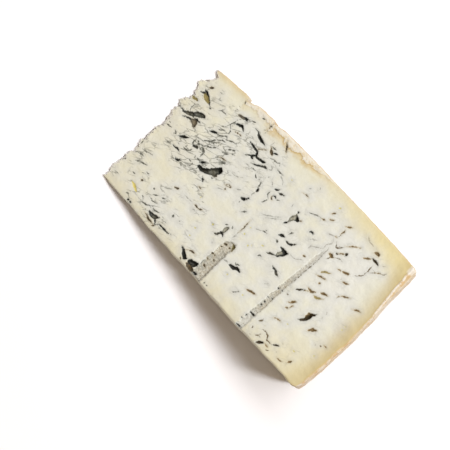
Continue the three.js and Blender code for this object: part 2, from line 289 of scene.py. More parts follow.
# Thin cracks and veins, dark grey.
VEINS = [
    (0.3, (38.8, 70.9), (40.5, 69.6)), (0.3, (34.6, 69.9), (33, 69), (32, 67)),
    (0.3, (34.5, 73), (33.3, 71.5), (33.2, 69.5), (32.3, 67.5), (31.8, 64.8)),
    (0.3, (32.3, 67.5), (34.5, 66), (35.5, 64), (36, 62), (37, 60.8)),
    (0.3, (29.6, 61), (31.5, 62.2), (33.4, 63.7)),
    (0.35, (30.5, 59), (33, 59.3), (36, 61.5), (37, 60.3)), (0.4, (37, 60), (39, 61), (41.8, 62.4)),
    (0.3, (34, 56.5), (36, 58.5), (38.5, 59)), (0.3, (39, 76.5), (41.8, 77.5)),
    (0.25, (22.3, 67.8), (23.6, 69.2), (26.8, 69.1)), (0.25, (23.6, 69.2), (23.8, 71)),
    (0.35, (15.7, 75.2), (16.7, 75.2)), (0.3, (9.8, 59), (10.8, 58), (11, 56.8)),
    (0.3, (10, 61.3), (10.6, 58)), (0.35, (6.3, 43.3), (8, 43.6), (11, 44)),
    (0.3, (7.6, 45.4), (8.2, 45.6)), (0.35, (13, 44.6), (14.5, 44), (15.5, 43.6)),
    (0.3, (14, 42.8), (14.6, 42.6)), (0.3, (20, 41), (21.2, 40.5)), (0.3, (15.3, 37.2), (16.8, 37.8)),
    (0.35, (23.2, 41.5), (24.5, 41.4), (26.5, 41.8), (27.7, 42.3)), (0.6, (27.5, 46.2), (28.4, 46.9)),
    (0.45, (25.3, 49.5), (25.3, 47), (26.8, 45.6)),
    (0.65, (30, 49.3), (32, 48), (33.5, 47.2), (34, 44.5)), (0.3, (33.2, 45), (34.3, 46)),
    (0.35, (26, 49.5), (27.5, 48.8), (28.6, 47.8)), (0.3, (27, 47), (28.8, 48.6), (29.4, 49.6)),
    (0.3, (29.5, 47.8), (31, 47.2), (32.6, 46.6)),
    (0.4, (28.2, 50.5), (29.5, 52), (32, 54), (33.5, 56.5), (34.8, 57)),
    (0.35, (31, 49.5), (33, 51), (35.3, 51)), (0.35, (33.5, 51.5), (35.5, 52.5), (37, 54)),
    (0.3, (33, 53), (34, 55)), (0.3, (33.5, 42.8), (36, 42.5)), (0.3, (31, 39.4), (32.5, 39.3)),
    (0.3, (33.5, 39.5), (34, 38), (33.3, 37.2)), (0.3, (28, 44), (27.5, 42.5)),
    (0.35, (28.6, 35.8), (30.5, 33.6)), (0.28, (8.3, 25.1), (11, 25.6), (13.5, 26.2), (15, 27)),
    (0.28, (5.7, 22), (6.3, 21.3), (8, 22.3), (10.5, 23), (12.7, 22.8)),
    (0.35, (10.5, 18), (11.5, 18.8), (12.5, 19.8)), (0.3, (12.5, 19.8), (15, 20.2), (17.5, 21)),
    (0.35, (4.7, 14), (6, 15.3)), (0.35, (5.3, 28.5), (5.5, 26.5)), (0.3, (20, 18.5), (21.5, 18.6)),
    (0.3, (14.3, 13.3), (16, 13.5)), (0.3, (6.8, 6.7), (10, 6.9)),
    (0.35, (20, 3), (21.3, 3.7), (22.5, 3.3)), (0.4, (29.5, 15.2), (29.9, 15.3)),
    (0.3, (31.5, 12.8), (33, 13.8), (34.5, 14.9)), (0.35, (36.5, 15), (38.3, 16.2)),
    (0.35, (31, 11.2), (33.5, 10.6), (36, 11), (37.3, 11.3)), (0.3, (28, 8.6), (29.5, 8.2)),
    (0.35, (29.7, 8), (30.3, 6.5), (33, 6.7), (35, 7.6), (36.5, 8.9)),
    (0.35, (36.5, 8.9), (38, 8), (41, 8.5), (42, 9)), (0.35, (57.5, 75), (59, 74.9), (60.5, 75.3)),
    (0.35, (61, 70.3), (62.5, 70.5), (65, 70.7), (66.8, 71.6), (68, 70.7)),
    (0.35, (68.6, 68.2), (70, 68.7), (73, 68.4)), (0.45, (41.2, 56.8), (43, 58.3), (45, 59.3)),
    (0.3, (45.3, 57), (45.8, 57.1)), (0.3, (42.3, 81.7), (43.8, 82.2)), (0.3, (58, 60), (61, 60)),
    (0.35, (62.5, 58.7), (64.3, 57.5)), (0.3, (65.5, 58.3), (65.9, 58.4)),
    (0.35, (67, 59), (68, 57.5), (68.2, 55.8), (69.2, 54.2)), (0.35, (68.2, 62.6), (68.6, 62.7)),
    (0.35, (74.8, 58.2), (75, 56), (76.5, 55.2)), (0.3, (80, 57.5), (81.5, 58.3)),
    (0.35, (75.7, 51.3), (76.3, 52.7), (77, 54.5)), (0.45, (40.5, 54.3), (42, 55), (44, 55.6)),
    (0.6, (44.8, 50.4), (46.2, 51.2)), (0.3, (41.2, 50), (42.2, 50.2)), (0.3, (69, 50), (69.2, 52)),
    (0.3, (67.2, 43.3), (67.6, 42.5)), (0.35, (72, 40.5), (73, 41.4), (74, 42.3)),
    (0.3, (71.3, 30), (72.5, 31)), (0.3, (74.5, 32), (75.5, 31)), (0.3, (52.5, 13.5), (52.9, 13.7)),
    (0.3, (47.4, 12.8), (48, 13.4), (48.6, 12.8), (48, 12.2)),
    (0.35, (96.5, 64.6), (98, 65.6), (101, 66.8), (104, 67.5)),
    (0.35, (98.3, 50.3), (98.8, 51.5), (99.5, 52)), (0.3, (95.5, 43.7), (96.8, 43.4), (97.5, 42.7)),
    (0.35, (95.2, 31), (96, 32), (97.2, 32.2)), (0.3, (88.3, 43), (88.8, 43.2)),
    (0.35, (87, 41.5), (88.3, 42), (90, 42.3)), (0.35, (90, 20.3), (91, 19.9)),
    (0.3, (91, 20.5), (92.5, 21)), (0.35, (100.3, 9.3), (101, 10.3), (102, 11.5), (103, 12)),
    (0.35, (86.3, 1.9), (86.7, 2)), (0.35, (88.2, 1.8), (88.6, 1.7)),
    (0.35, (118.5, 64.5), (119.5, 63.3), (120.5, 62.6), (121, 64)),
    (0.3, (121.8, 11.7), (121.5, 10.3), (120.3, 9)),
    (0.4, (125, 7.9), (127, 8.1), (129.5, 7.5), (130.5, 6.4), (131.5, 5.9), (134.5, 6.1)),
    (0.3, (134, 2.3), (135.3, 3)), (0.3, (120.5, 5.4), (121, 4.7)),
    (0.3, (121, 9.2), (121.8, 10.2), (122.2, 11.3)), (0.3, (125, 3.2), (126.2, 4.2), (127.3, 4.4)),
    (0.4, (120.8, 28.8), (121.1, 28.9)), (0.35, (149.3, 22), (149.8, 22.2)),
    (0.35, (151.3, 23.3), (151.7, 23.4)), (0.3, (145.5, 69.3), (147, 70), (147.5, 71.2)),
    (0.3, (140, 69), (140.2, 66), (141.5, 65.7)),
    (0.3, (140.2, 66), (140.1, 63), (139, 61), (137, 59.5)),
    (0.3, (118.2, 33), (118.2, 39), (118.4, 46), (118.6, 52), (118, 56.5)),
    (0.3, (118.2, 64.9), (119.4, 63.6), (120.8, 62.6), (121.6, 63.6), (123.4, 66)),
    (0.25, (116.9, 69.2), (117.3, 68.4), (116.6, 66.6)),
    (0.25, (123, 58.4), (125, 59.6), (127.8, 60.2)), (0.3, (120.9, 57.4), (121.6, 56.6), (120.9, 55.2)),
    (0.25, (140.3, 66), (141.6, 66), (143.2, 67.6), (145, 68.9)),
]

# Veins that hardly show.
FAINT_VEINS = [
    (0.25, (29, 37), (33, 37), (36, 37), (38, 38)), (0.25, (91.3, 78), (92, 76.9)),
    (0.25, (88, 73.5), (88.7, 74.2)), (0.25, (10.5, 31.8), (12.3, 32.3)),
    (0.25, (51, 50.5), (56, 51), (60, 53.5)), (0.25, (60.5, 46), (61.5, 46.7), (63.5, 48)),
    (0.25, (53, 39), (55, 40.5), (56, 41.2)), (0.25, (43, 25), (50, 25)),
    (0.25, (52.5, 23), (54.5, 23.5)), (0.25, (45, 7.5), (49, 8)),
    (0.25, (64, 65.2), (66.5, 66), (65.2, 67.5), (63, 67.5)), (0.25, (72, 67.5), (75, 66.5), (77, 65)),
    (0.25, (70.5, 64), (71, 62.5), (74, 60.5)), (0.25, (52.5, 59), (56.5, 59.2)),
    (0.25, (80, 47), (85, 50), (89, 53.3)), (0.25, (83, 47), (87, 50.2), (90, 53)),
    (0.25, (110, 53.5), (112, 55), (115.5, 57.2)), (0.25, (107, 55.3), (109, 57), (111, 58.8)),
    (0.25, (106, 43.5), (110, 43.8), (112.5, 46)), (0.25, (110.3, 54), (110.5, 52)),
    (0.25, (84, 39.6), (87, 41.2)), (0.25, (108.5, 24.3), (109.7, 25.4)), (0.25, (88.2, 62), (89, 60)),
    (0.25, (43, 69), (44, 67.8)), (0.25, (46, 70.7), (48, 70.8)), (0.25, (17, 46), (19, 47.5)),
    (0.3, (127, 78.3), (129, 77.2), (131, 76.6), (135, 76.2)), (0.25, (143.3, 72.5), (144.7, 74)),
    (0.25, (141.3, 38), (141.7, 36)), (0.25, (141.5, 34), (142, 33)), (0.25, (121, 1.5), (123.5, 1.8)),
    (0.25, (127.5, 4), (126, 4.8), (127, 6)), (0.25, (137, 11), (138.3, 10.3)),
    (0.25, (137.5, 5.5), (139, 5.5)), (0.25, (44, 75.1), (46.3, 75.2)),
    (0.25, (52.3, 73), (54.3, 72.7)), (0.3, (60.3, 72.6), (61.2, 73.4)), (0.25, (7, 68.3), (9.5, 69)),
    (0.25, (9, 67.5), (11, 66.3)), (0.25, (132.3, 68.6), (133.5, 68.3)),
    (0.25, (141.5, 68.2), (143.5, 68.3)), (0.25, (133.8, 53.3), (134.5, 54)),
    (0.25, (129.3, 55.7), (130.3, 55.9)), (0.25, (49.3, 79.8), (49.3, 76)),
    (0.25, (18.5, 72.3), (19.3, 73)), (0.25, (11, 62.5), (12.5, 63)),
    (0.25, (139.3, 45.3), (140, 47.5)),
    (0.3, (115, 65.6), (116.4, 64.4), (117.1, 62.6), (116.3, 60.8), (115.8, 59), (116.4, 56)),
    (0.3, (112, 64.9), (114.2, 65.4), (116.2, 66.2)), (0.3, (117.6, 57), (118.1, 58.4), (117.4, 60.2)),
    (0.3, (84, 17), (86.2, 17.8), (88, 17.2)), (0.3, (73, 19), (73.7, 18.5)),
    (0.4, (33, 19.6), (35, 21), (37, 22.3)), (0.3, (79, 27.5), (79.3, 30), (78.9, 33)),
]

# How a kind of mark looks: how strongly it shows, how brown, how yellow and how pale it is from 0 to 1,
# and how deep it goes, as a least depth and a share of its half width.
LOOKS = {
    "black": (1.0, 0.0, 0.0, 0.0, 0.7, 1.6),
    "grey": (0.97, 0.1, 0.0, 0.55, 0.5, 1.1),
    "olive": (0.9, 0.62, 0.0, 0.75, 0.4, 0.7),
    "dusty": (0.9, 0.1, 0.0, 1.0, 0.4, 0.7),
    "brown": (0.95, 0.9, 0.0, 0.2, 0.45, 0.9),
    "tan": (0.9, 1.0, 0.25, 0.2, 0.3, 0.7),
    "yellow": (0.8, 0.4, 1.0, 0.3, 0.15, 0.5),
    "vein": (0.95, 0.15, 0.0, 0.1, 0.2, 0.6),
    "faint": (0.5, 0.1, 0.0, 0.3, 0.05, 0.2),
}
# What the points of a mark store, the widest half width that they may have, how far apart they are,
# and how long a mark of one point is.
MARK_FACTS = ("strength", "brown", "yellow", "pale", "depth")
WIDEST_MARK = 2.6
MARK_STEP = 0.2
DOT_LENGTH = 0.3

# Marks strewn over the sides that lie hidden: how many each side has, and how far from the axis and
# from the halved side they start and reach.
STRAY_SEED = 11
SIDE_MARKS = 70
BASE_MARKS = 90
SIDE_START = 14.0
BASE_START = (12.0, 6.0)
STRAY_RUN = 134.0
BASE_SPAN = 70.0
# The halved side rises from the tip at this slope, and this share of its height stays free at its edges.
SIDE_SLOPE = 0.34
SIDE_MARGIN = 0.03
# What a strewn mark is drawn from. Those that are wide enough are eyes, and the others are veins.
STRAY_SPREAD = (0.5, 0.95)
STRAY_LEAST = 0.25
STRAY_MORE = 0.9
STRAY_EYE_FROM = 0.45
STRAY_LENGTH = (1.5, 4.5)
STRAY_SLOPE = (18.0, 22.0)
STRAY_WANDER = 0.5

# Noises: how large their lumps are in millimetres, and in metres for the floor, and then their detail
# and their roughness.
NOISES = {
    "tears": (2.6, 3.0, 0.7),
    "fine tears": (1.3, 2.0, 0.6),
    "rim hollows": (14.0, 2.0, 0.5),
    "rim chips": (2.6, 3.0, 0.6),
    "rind chips": (3.4, 3.0, 0.6),
    "channel walls": (3.0, 4.0, 0.7),
    "channel ends": (2.4, 4.0, 0.7),
    "channel bed": (1.5, 3.0, 0.7),
    "coarse strays": (2.6, 2.0, 0.5),
    "fine strays": (0.8, 2.0, 0.5),
    "eye widths": (1.5, 2.0, 0.5),
    "eye depths": (1.3, 2.0, 0.5),
    "crumbs": (1.7, 3.0, 0.6),
    "waves": (9.0, 2.0, 0.5),
    "rind creases": (4.0, 5.0, 0.65),
    "tip crumbs": (2.2, 4.0, 0.7),
    "flake lobes": (7.0, 5.0, 0.65),
    "flake grain": (1.4, 3.0, 0.6),
    "ridge wander": (4.5, 5.0, 0.7),
    "clouds": (22.0, 3.0, 0.5),
    "mottle": (5.0, 4.0, 0.6),
    "grain": (1.0, 4.0, 0.65),
    "fine grain": (0.4, 3.0, 0.6),
    "frayed edges": (0.9, 4.0, 0.7),
    "rind streaks": (2.6, 4.0, 0.65),
    "rind spots": (3.4, 3.0, 0.6),
    "crack patches": (7.0, 3.0, 0.5),
    "crack strays": (3.0, 3.0, 0.6),
    "hair strays": (5.0, 3.0, 0.6),
    "hair swirls": (4.0, 3.0, 0.6),
    "pit strays": (2.0, 3.0, 0.6),
    "vein breaks": (1.7, 3.0, 0.6),
    "floor clouds": (0.4, 2.0, 0.5),
}


def arithmetic(operation, reflected=False):
    """A method of Value that adds this Math node. A reflected one takes the value as its second term."""
    def method(self, other):
        terms = (other, self) if reflected else (self, other)
        return self.tree.math(operation, *terms)

    return method


class Value:
    """The value at one socket. Arithmetic on values adds Math nodes to their tree."""

    def __init__(self, tree, socket):
        self.tree = tree
        self.socket = socket

    __add__ = arithmetic("ADD")
    __radd__ = arithmetic("ADD", reflected=True)
    __sub__ = arithmetic("SUBTRACT")
    __rsub__ = arithmetic("SUBTRACT", reflected=True)
    __mul__ = arithmetic("MULTIPLY")
    __rmul__ = arithmetic("MULTIPLY", reflected=True)
    __truediv__ = arithmetic("DIVIDE")
    __rtruediv__ = arithmetic("DIVIDE", reflected=True)
    __pow__ = arithmetic("POWER")
    __rpow__ = arithmetic("POWER", reflected=True)
    __gt__ = arithmetic("GREATER_THAN")
    __lt__ = arithmetic("LESS_THAN")

    def __neg__(self):
        return self.tree.math("MULTIPLY", self, -1.0)

    def __abs__(self):
        return self.tree.math("ABSOLUTE", self)

    def part(self, name):
        """Another output of the node that this value comes from."""
        return Value(self.tree, self.socket.node.outputs[name])


class Tree:
    """A node tree being built, for geometry or for a material."""

    def __init__(self, nodes):
        self.nodes = nodes

    def add(self, kind, settings=None, inputs=None, out=0):
        """Adds a node: its settings, then the values or links of its sockets. Returns one output."""
        node = self.nodes.nodes.new(kind)
        for name, value in (settings or {}).items():
            setattr(node, name, value)
        for key, value in (inputs or {}).items():
            if isinstance(value, Value):
                self.nodes.links.new(value.socket, node.inputs[key])
            else:
                node.inputs[key].default_value = value
        if not node.outputs:
            return node
        return Value(self, node.outputs[out])

    def math(self, operation, *terms):
        return self.add("ShaderNodeMath", {"operation": operation}, dict(enumerate(terms)))

    def vector(self, operation, *terms, out=0):
        return self.add("ShaderNodeVectorMath", {"operation": operation}, dict(enumerate(terms)), out)

    def scaled(self, vector, factor):
        return self.add("ShaderNodeVectorMath", {"operation": "SCALE"}, {0: vector, "Scale": factor})

    def join(self, x, y, z):
        return self.add("ShaderNodeCombineXYZ", inputs={0: x, 1: y, 2: z})

    def split(self, vector):
        x = self.add("ShaderNodeSeparateXYZ", inputs={0: vector})
        return x, x.part("Y"), x.part("Z")

    def smallest(self, a, b):
        return self.math("MINIMUM", a, b)

    def largest(self, a, b):
        return self.math("MAXIMUM", a, b)

    def between(self, a, b, share):
        """The value share of the way from a to b."""
        return a + (b - a) * share

    def limited(self, value, low=0.0, high=1.0):
        return self.add("ShaderNodeClamp", inputs={"Value": value, "Min": low, "Max": high})

    def smooth(self, value, low, high):
        """Rises smoothly from 0 at low to 1 at high, or falls where low is the larger."""
        settings = {"interpolation_type": "SMOOTHSTEP"}
        inputs = {"Value": value, "From Min": low, "From Max": high}
        return self.add("ShaderNodeMapRange", settings, inputs)

    def noise(self, place, name, out="Fac"):
        """One of the listed noises, around 0.5."""
        size, detail, roughness = NOISES[name]
        inputs = {"Vector": place, "Scale": 1.0 / size, "Detail": detail, "Roughness": roughness}
        return self.add("ShaderNodeTexNoise", inputs=inputs, out=out)

    def stray(self, place, name, reach):
        """A step at random from a place, of up to about half of reach along each axis."""
        step = self.vector("SUBTRACT", self.noise(place, name, out="Color"), (0.5, 0.5, 0.5))
        return self.scaled(step, reach)


# The kind of socket that a tree's input has for each type of value.
INPUT_SOCKETS = {
    float: "NodeSocketFloat",
    bpy.types.Material: "NodeSocketMaterial",
    bpy.types.Object: "NodeSocketObject",
}


class GeometryTree(Tree):
    """A Geometry Nodes tree with named inputs, which makes an object's mesh."""

    def __init__(self, name, values):
        super().__init__(bpy.data.node_groups.new(name, "GeometryNodeTree"))
        self.values = values
        face = self.nodes.interface
        for way in ("INPUT", "OUTPUT"):
            face.new_socket("Geometry", in_out=way, socket_type="NodeSocketGeometry")
        for key, value in values.items():
            face.new_socket(key, in_out="INPUT", socket_type=INPUT_SOCKETS[type(value)])
        self.geometry = self.add("NodeGroupInput")
        self.sizes = {key: self.geometry.part(key) for key in values}

    def position(self):
        return self.add("GeometryNodeInputPosition")

    def stored(self, name, kind="FLOAT"):
        return self.add("GeometryNodeInputNamedAttribute", {"data_type": kind}, {"Name": name})

    def with_stored(self, geometry, name, value, kind="FLOAT"):
        """The geometry with a value stored at its points."""
        settings = {"data_type": kind, "domain": "POINT"}
        inputs = {"Geometry": geometry, "Name": name, "Value": value}
        return self.add("GeometryNodeStoreNamedAttribute", settings, inputs)

    def store(self, name, value, kind="FLOAT"):
        self.geometry = self.with_stored(self.geometry, name, value, kind)

    def moved(self, geometry, how, vector):
        """The geometry with its points moved, to a Position or by an Offset."""
        return self.add("GeometryNodeSetPosition", inputs={"Geometry": geometry, how: vector})

    def end(self, material):
        """Ends the tree in one real mesh of this material."""
        whole = self.add("GeometryNodeRealizeInstances", inputs={"Geometry": self.geometry})
        painted = self.add("GeometryNodeSetMaterial", inputs={"Geometry": whole, "Material": material})
        self.add("NodeGroupOutput", inputs={"Geometry": painted})

    def put_on(self, piece):
        """Makes the tree a modifier of the piece, with its inputs set."""
        modifier = piece.modifiers.new(self.nodes.name, "NODES")
        modifier.node_group = self.nodes
        for item in self.nodes.interface.items_tree:
            if item.in_out == "INPUT" and item.name in self.values:
                modifier[item.identifier] = self.values[item.name]


def hump(u):
    """A smooth hump of height 1 at the middle of 0 to 1."""
    return 4.0 * u * (1.0 - u)


def wander(tree, u, phase):
    """Wandering of about 1 either way that never repeats evenly over a wedge's length."""
    slow = tree.math("SINE", u * 5.1 + phase)
    middle = tree.math("SINE", u * 13.7 + 2.3 * phase)
    fast = tree.math("SINE", u * 31.0 + phase)
    return (slow + 0.6 * middle + 0.4 * fast) * 0.5


def rounded(tree, a, b, radius):
    """How far a point moves in from each of two faces, at distances a and b, to round their corner."""
    p = 1.0 - tree.smallest(a / radius, 1.0)
    q = 1.0 - tree.smallest(b / radius, 1.0)
    longest = tree.largest(tree.math("SQRT", p * p + q * q), TINY)
    spare = 1.0 - tree.largest(p, q) / longest
    corner = (p > 0.0) * (q > 0.0)
    return radius * p * spare * corner, radius * q * spare * corner


def mesh_object(name, vertices, edges, faces):
    """An object of this name in the scene, with a mesh of its own."""
    mesh = bpy.data.meshes.new(name)
    mesh.from_pydata(vertices, edges, faces)
    piece = bpy.data.objects.new(name, mesh)
    bpy.context.scene.collection.objects.link(piece)
    return piece


def ring(along, across):
    """The rim of a unit square, anticlockwise from its origin, with so many steps on its sides."""
    front = [(i / along, 0.0) for i in range(along)]
    right = [(1.0, j / across) for j in range(across)]
    back = [(1.0 - i / along, 1.0) for i in range(along)]
    left = [(0.0, 1.0 - j / across) for j in range(across)]
    return front + right + back + left


def unit_shell():
    """A closed unit box whose top is fine and whose sides and bottom are coarser, with its UV map."""
    points = []
    faces = []
    sides = []

    def grid(along, across, height, upwards):
        """Adds a level sheet, and returns the points along its rim."""
        first = len(points)
        for i in range(along + 1):
            points.extend((i / along, j / across, height) for j in range(across + 1))

        def at(i, j):
            return first + i * (across + 1) + j

        for i in range(along):
            for j in range(across):
                face = [at(i, j), at(i + 1, j), at(i + 1, j + 1), at(i, j + 1)]
                faces.append(face if upwards else face[::-1])
                sides.append("top" if upwards else "bottom")
        return [at(round(s * along), round(t * across)) for s, t in ring(along, across)]

    def new_ring(along, across, height):
        """Adds a level ring of points, and returns them."""
        first = len(points)
        points.extend((s, t, height) for s, t in ring(along, across))
        return list(range(first, len(points)))

    def side_of(k, along, across):
        """The side that step k of a ring lies on."""
        limits = (along, along + across, 2 * along + across, 2 * (along + across))
        names = ("halved", "rim", "rind", "tip")
        return next(name for name, limit in zip(names, limits) if k < limit)

    def wall(upper, lower, along, across):
        """Joins a ring to the one above it, which has as many steps or twice as many."""
        count = len(lower)
        for k in range(count):
            nxt = (k + 1) % count
            side = side_of(k, along, across)
            if len(upper) == count:
                faces.append([lower[k], lower[nxt], upper[nxt], upper[k]])
                sides.append(side)
            else:
                a = upper[2 * k]
                b = upper[2 * k + 1]
                c = upper[(2 * k + 2) % len(upper)]
                faces.extend(([lower[k], b, a], [lower[k], lower[nxt], b], [lower[nxt], c, b]))
                sides.extend([side] * 3)

    along, across = FACETS_ALONG, FACETS_ACROSS
    upper = grid(along, across, 1.0, True)
    for row in range(1, FINE_ROWS + 1):
        lower = new_ring(along, across, 1.0 - row * FINE_ROW_SHARE)
        wall(upper, lower, along, across)
        upper = lower
    along, across = along // 2, across // 2
    start = 1.0 - FINE_ROWS * FINE_ROW_SHARE
    for row in range(1, COARSE_ROWS + 1):
        height = start + (LAST_ROW_SHARE - start) * row / COARSE_ROWS
        lower = new_ring(along, across, height)
        wall(upper, lower, along, across)
        upper = lower
    along, across = along // 2, across // 2
    lower = grid(along, across, 0.0, False)
    wall(upper, lower, along, across)

    shell = mesh_object("cheese_shell", points, [], faces)
    lay_out(shell.data, sides)
    return shell


# Where each side lies on the UV map: its left, low, width and height there.
UV_PLACES = {
    "top": (0.002, 0.462, 0.996, 0.536),
    "bottom": (0.002, 0.182, 0.496, 0.274),
    "halved": (0.002, 0.002, 0.496, 0.174),
    "rind": (0.502, 0.002, 0.496, 0.174),
    "rim": (0.502, 0.182, 0.28, 0.174),
    "tip": (0.502, 0.362, 0.28, 0.03),
}


def lay_out(mesh, sides):
    """Gives the unit shell a UV map with a patch for each of its sides."""
    layer = mesh.uv_layers.new(name="OFBake")
    corners = np.zeros(len(mesh.loops), np.int32)
    mesh.loops.foreach_get("vertex_index", corners)
    places = np.zeros(len(mesh.vertices) * 3, np.float32)
    mesh.vertices.foreach_get("co", places)
    s, t, w = places.reshape(-1, 3)[corners].T
    totals = np.zeros(len(mesh.polygons), np.int32)
    mesh.polygons.foreach_get("loop_total", totals)
    names = np.repeat(np.array(sides), totals)
    pairs = {
        "top": (s, t),
        "bottom": (s, t),
        "halved": (s, w),
        "rind": (s, w),
        "rim": (t, w),
        "tip": (t, w),
    }
    uv = np.zeros((len(corners), 2), np.float32)
    for name, (left, low, width, height) in UV_PLACES.items():
        here = names == name
        u, v = pairs[name]
        uv[here, 0] = left + width * u[here]
        uv[here, 1] = low + height * v[here]
    layer.data.foreach_set("uv", uv.ravel())


def gutter(tree, radius, y, number):
    """How deep a needle channel, opened lengthwise by the cut, lies under the upper face."""
    size = tree.sizes
    name = f"Channel {number}"
    share = tree.limited(y / size[f"{name} length"])
    middle = tree.between(size[f"{name} mouth"], size[f"{name} end"], share)
    bore = tree.between(size[f"{name} mouth radius"], size[f"{name} end radius"], share)
    across = radius - middle
    to_end = size[f"{name} length"] - y + across * size["End slant"]
    closing = tree.smooth(to_end, *CHANNEL_CLOSING)
    inside = tree.largest(bore * bore - across * across, 0.0)
    bed = bore * size["Crumb bed"]
    return tree.smallest(tree.math("SQRT", inside) * size["Wall steepness"], bed) * closing


def channels(tree, radius, y):
    """How deep both needle channels lie, with their ragged walls and crumbly beds."""
    size = tree.sizes
    place = tree.join(radius, y, 0.0)
    ragged_radius = radius + (tree.noise(place, "channel walls") - 0.5) * size["Wall raggedness"]
    ragged_y = y + (tree.noise(place, "channel ends") - 0.5) * size["End raggedness"]
    trench = tree.largest(*(gutter(tree, ragged_radius, ragged_y, number) for number in (1, 2)))
    bed = (tree.noise(place, "channel bed") - 0.5) * 2.0 * size["Bed relief"]
    return trench + bed * tree.smooth(trench, 0.1, 0.7)


def tip_and_rim(tree, t, w):
    """How far from the axis the paste starts, at its broken tip, and ends, at the rim."""
    size = tree.sizes
    across = t * size["Half height"]
    inner = size["Tip radius"]
    for at, span, loss in TIP_BREAKS:
        inner = inner + loss * tree.math("EXPONENT", -(((across - at) / span) ** 2.0))
    tooth_place = tree.join(across, w * size["Tooth lean"], 0.0)
    torn = tree.noise(tooth_place, "tears") + tree.noise(tooth_place, "fine tears")
    inner = inner + (torn - 1.0) * size["Tip teeth"] - size["Tip foot"] * ((1.0 - w) ** 2.0)
    outer = size["Wheel radius"] + size["Rim bulge"] * hump(t ** size["Rim bulge skew"])
    outer = outer + size["Rim lean"] * (2.0 * w - 1.0)
    rim_place = tree.join(0.0, across, w * size["Rim height"])
    chipped = tree.noise(rim_place, "rim hollows") + 0.5 * tree.noise(rim_place, "rim chips")
    return inner, outer - (chipped - 0.55) * size["Rim chips"]


def steps_back(tree, s, w, radius):
    """How far the rind side falls back: a little at its chips, and more where the knife slipped."""
    size = tree.sizes
    chip_place = tree.join(radius, w * size["Rind chip lean"], 0.0)
    chipped = (tree.noise(chip_place, "rind chips") - 0.5) * size["Rind chips"]
    step = chipped * tree.smooth(s, 0.02, 0.1)
    for number in (1, 2):
        at = size[f"Step {number} at"]
        healed = tree.smooth(radius, at, at + size["Step recovery"])
        step = step + size[f"Step {number} depth"] * (radius > at) * (1.0 - healed)
    return step


def worn_edges(tree, gaps, under, above):
    """How the edges of both cut faces are worn: how far a point moves outward, across, down and up.

    Each gap is a distance from a side, with the ways outward and across that lead away from that side,
    and the name of its arris.
    """
    outward = 0.0
    sideways = 0.0
    sink = 0.0
    lift = 0.0
    for gap, out, across, arris in gaps:
        move, drop = rounded(tree, gap, under, tree.sizes[arris])
        outward = outward + move * out
        sideways = sideways + move * across
        sink = sink + drop
        move, rise = rounded(tree, gap, above, tree.sizes[arris])
        outward = outward + move * out
        sideways = sideways + move * across
        lift = lift + rise
    return outward, sideways, sink, lift


def wedge_tree(material):
    """Turns a unit box into the wedge: x runs from the tip, y from the halved side, z from the base."""
    tree = GeometryTree("Wedge", {**WEDGE, "Paste": material})
    size = tree.sizes
    s, t, w = tree.split(tree.position())

    inner, outer = tip_and_rim(tree, t, w)
    radius = tree.between(inner, outer, s)
    spread = tree.smooth(s, 0.0, size["Spread full at"]) * (1.0 - w)
    low = size["Side relief"] * wander(tree, s * 3.0, 0.4) - size["Halved side spread"] * spread
    bow = tree.largest(hump(s), 0.0) ** 0.6
    high = size["Half height"] + size["Rind side bow"] * bow + size["Rind side spread"] * spread
    y = tree.between(low, high, t)
    step = steps_back(tree, s, w, radius)
    high = high - step
    y = y - step * t ** size["Step fade"]

    in_high, down_high = rounded(tree, outer - radius, high - y, size["Rind shoulder"])
    in_low, down_low = rounded(tree, outer - radius, y - low, size["Halved shoulder"])
    radius = radius - in_high - in_low
    y = y - down_high + down_low

    rim_gap = outer - radius
    tip_gap = radius - inner
    under = (1.0 - w) * radius * size["Wedge angle"]
    above = w * radius * size["Wedge angle"] + size["Tip thickness"] * w
    gaps = (
        (rim_gap, -1.0, 0.0, "Arris"),
        (tip_gap, 1.0, 0.0, "Tip arris"),
        (high - y, 0.0, -1.0, "Arris"),
        (y - low, 0.0, 1.0, "Arris"),
    )
    outward, sideways, sink, lift = worn_edges(tree, gaps, under, above)
    radius = radius + outward
    y = y + sideways

    relief = size["Face relief"] * wander(tree, s * 4.0 + t, 0.9) * wander(tree, t * 3.0 - s, 2.1)
    trench = channels(tree, radius, y)
    turn = size["Wedge angle"] * w
    x = radius * tree.math("COSINE", turn)
    z = radius * tree.math("SINE", turn) + size["Tip thickness"] * w
    z = z + (relief - trench) * w - sink + lift

    tree.store("wheel_place", tree.join(radius, y, -under), "FLOAT_VECTOR")
    tree.store("rim_depth", rim_gap)
    tree.store("side_depth", high - y)
    tree.store("tip_depth", tip_gap)
    tree.store("trench", trench * tree.smooth(under, 0.8, 0.0))
    place = tree.scaled(tree.join(x - MIDDLE_X, y - MIDDLE_Y, z), MM)
    tree.geometry = tree.moved(tree.geometry, "Position", place)
    tree.end(size["Paste"])
    return tree


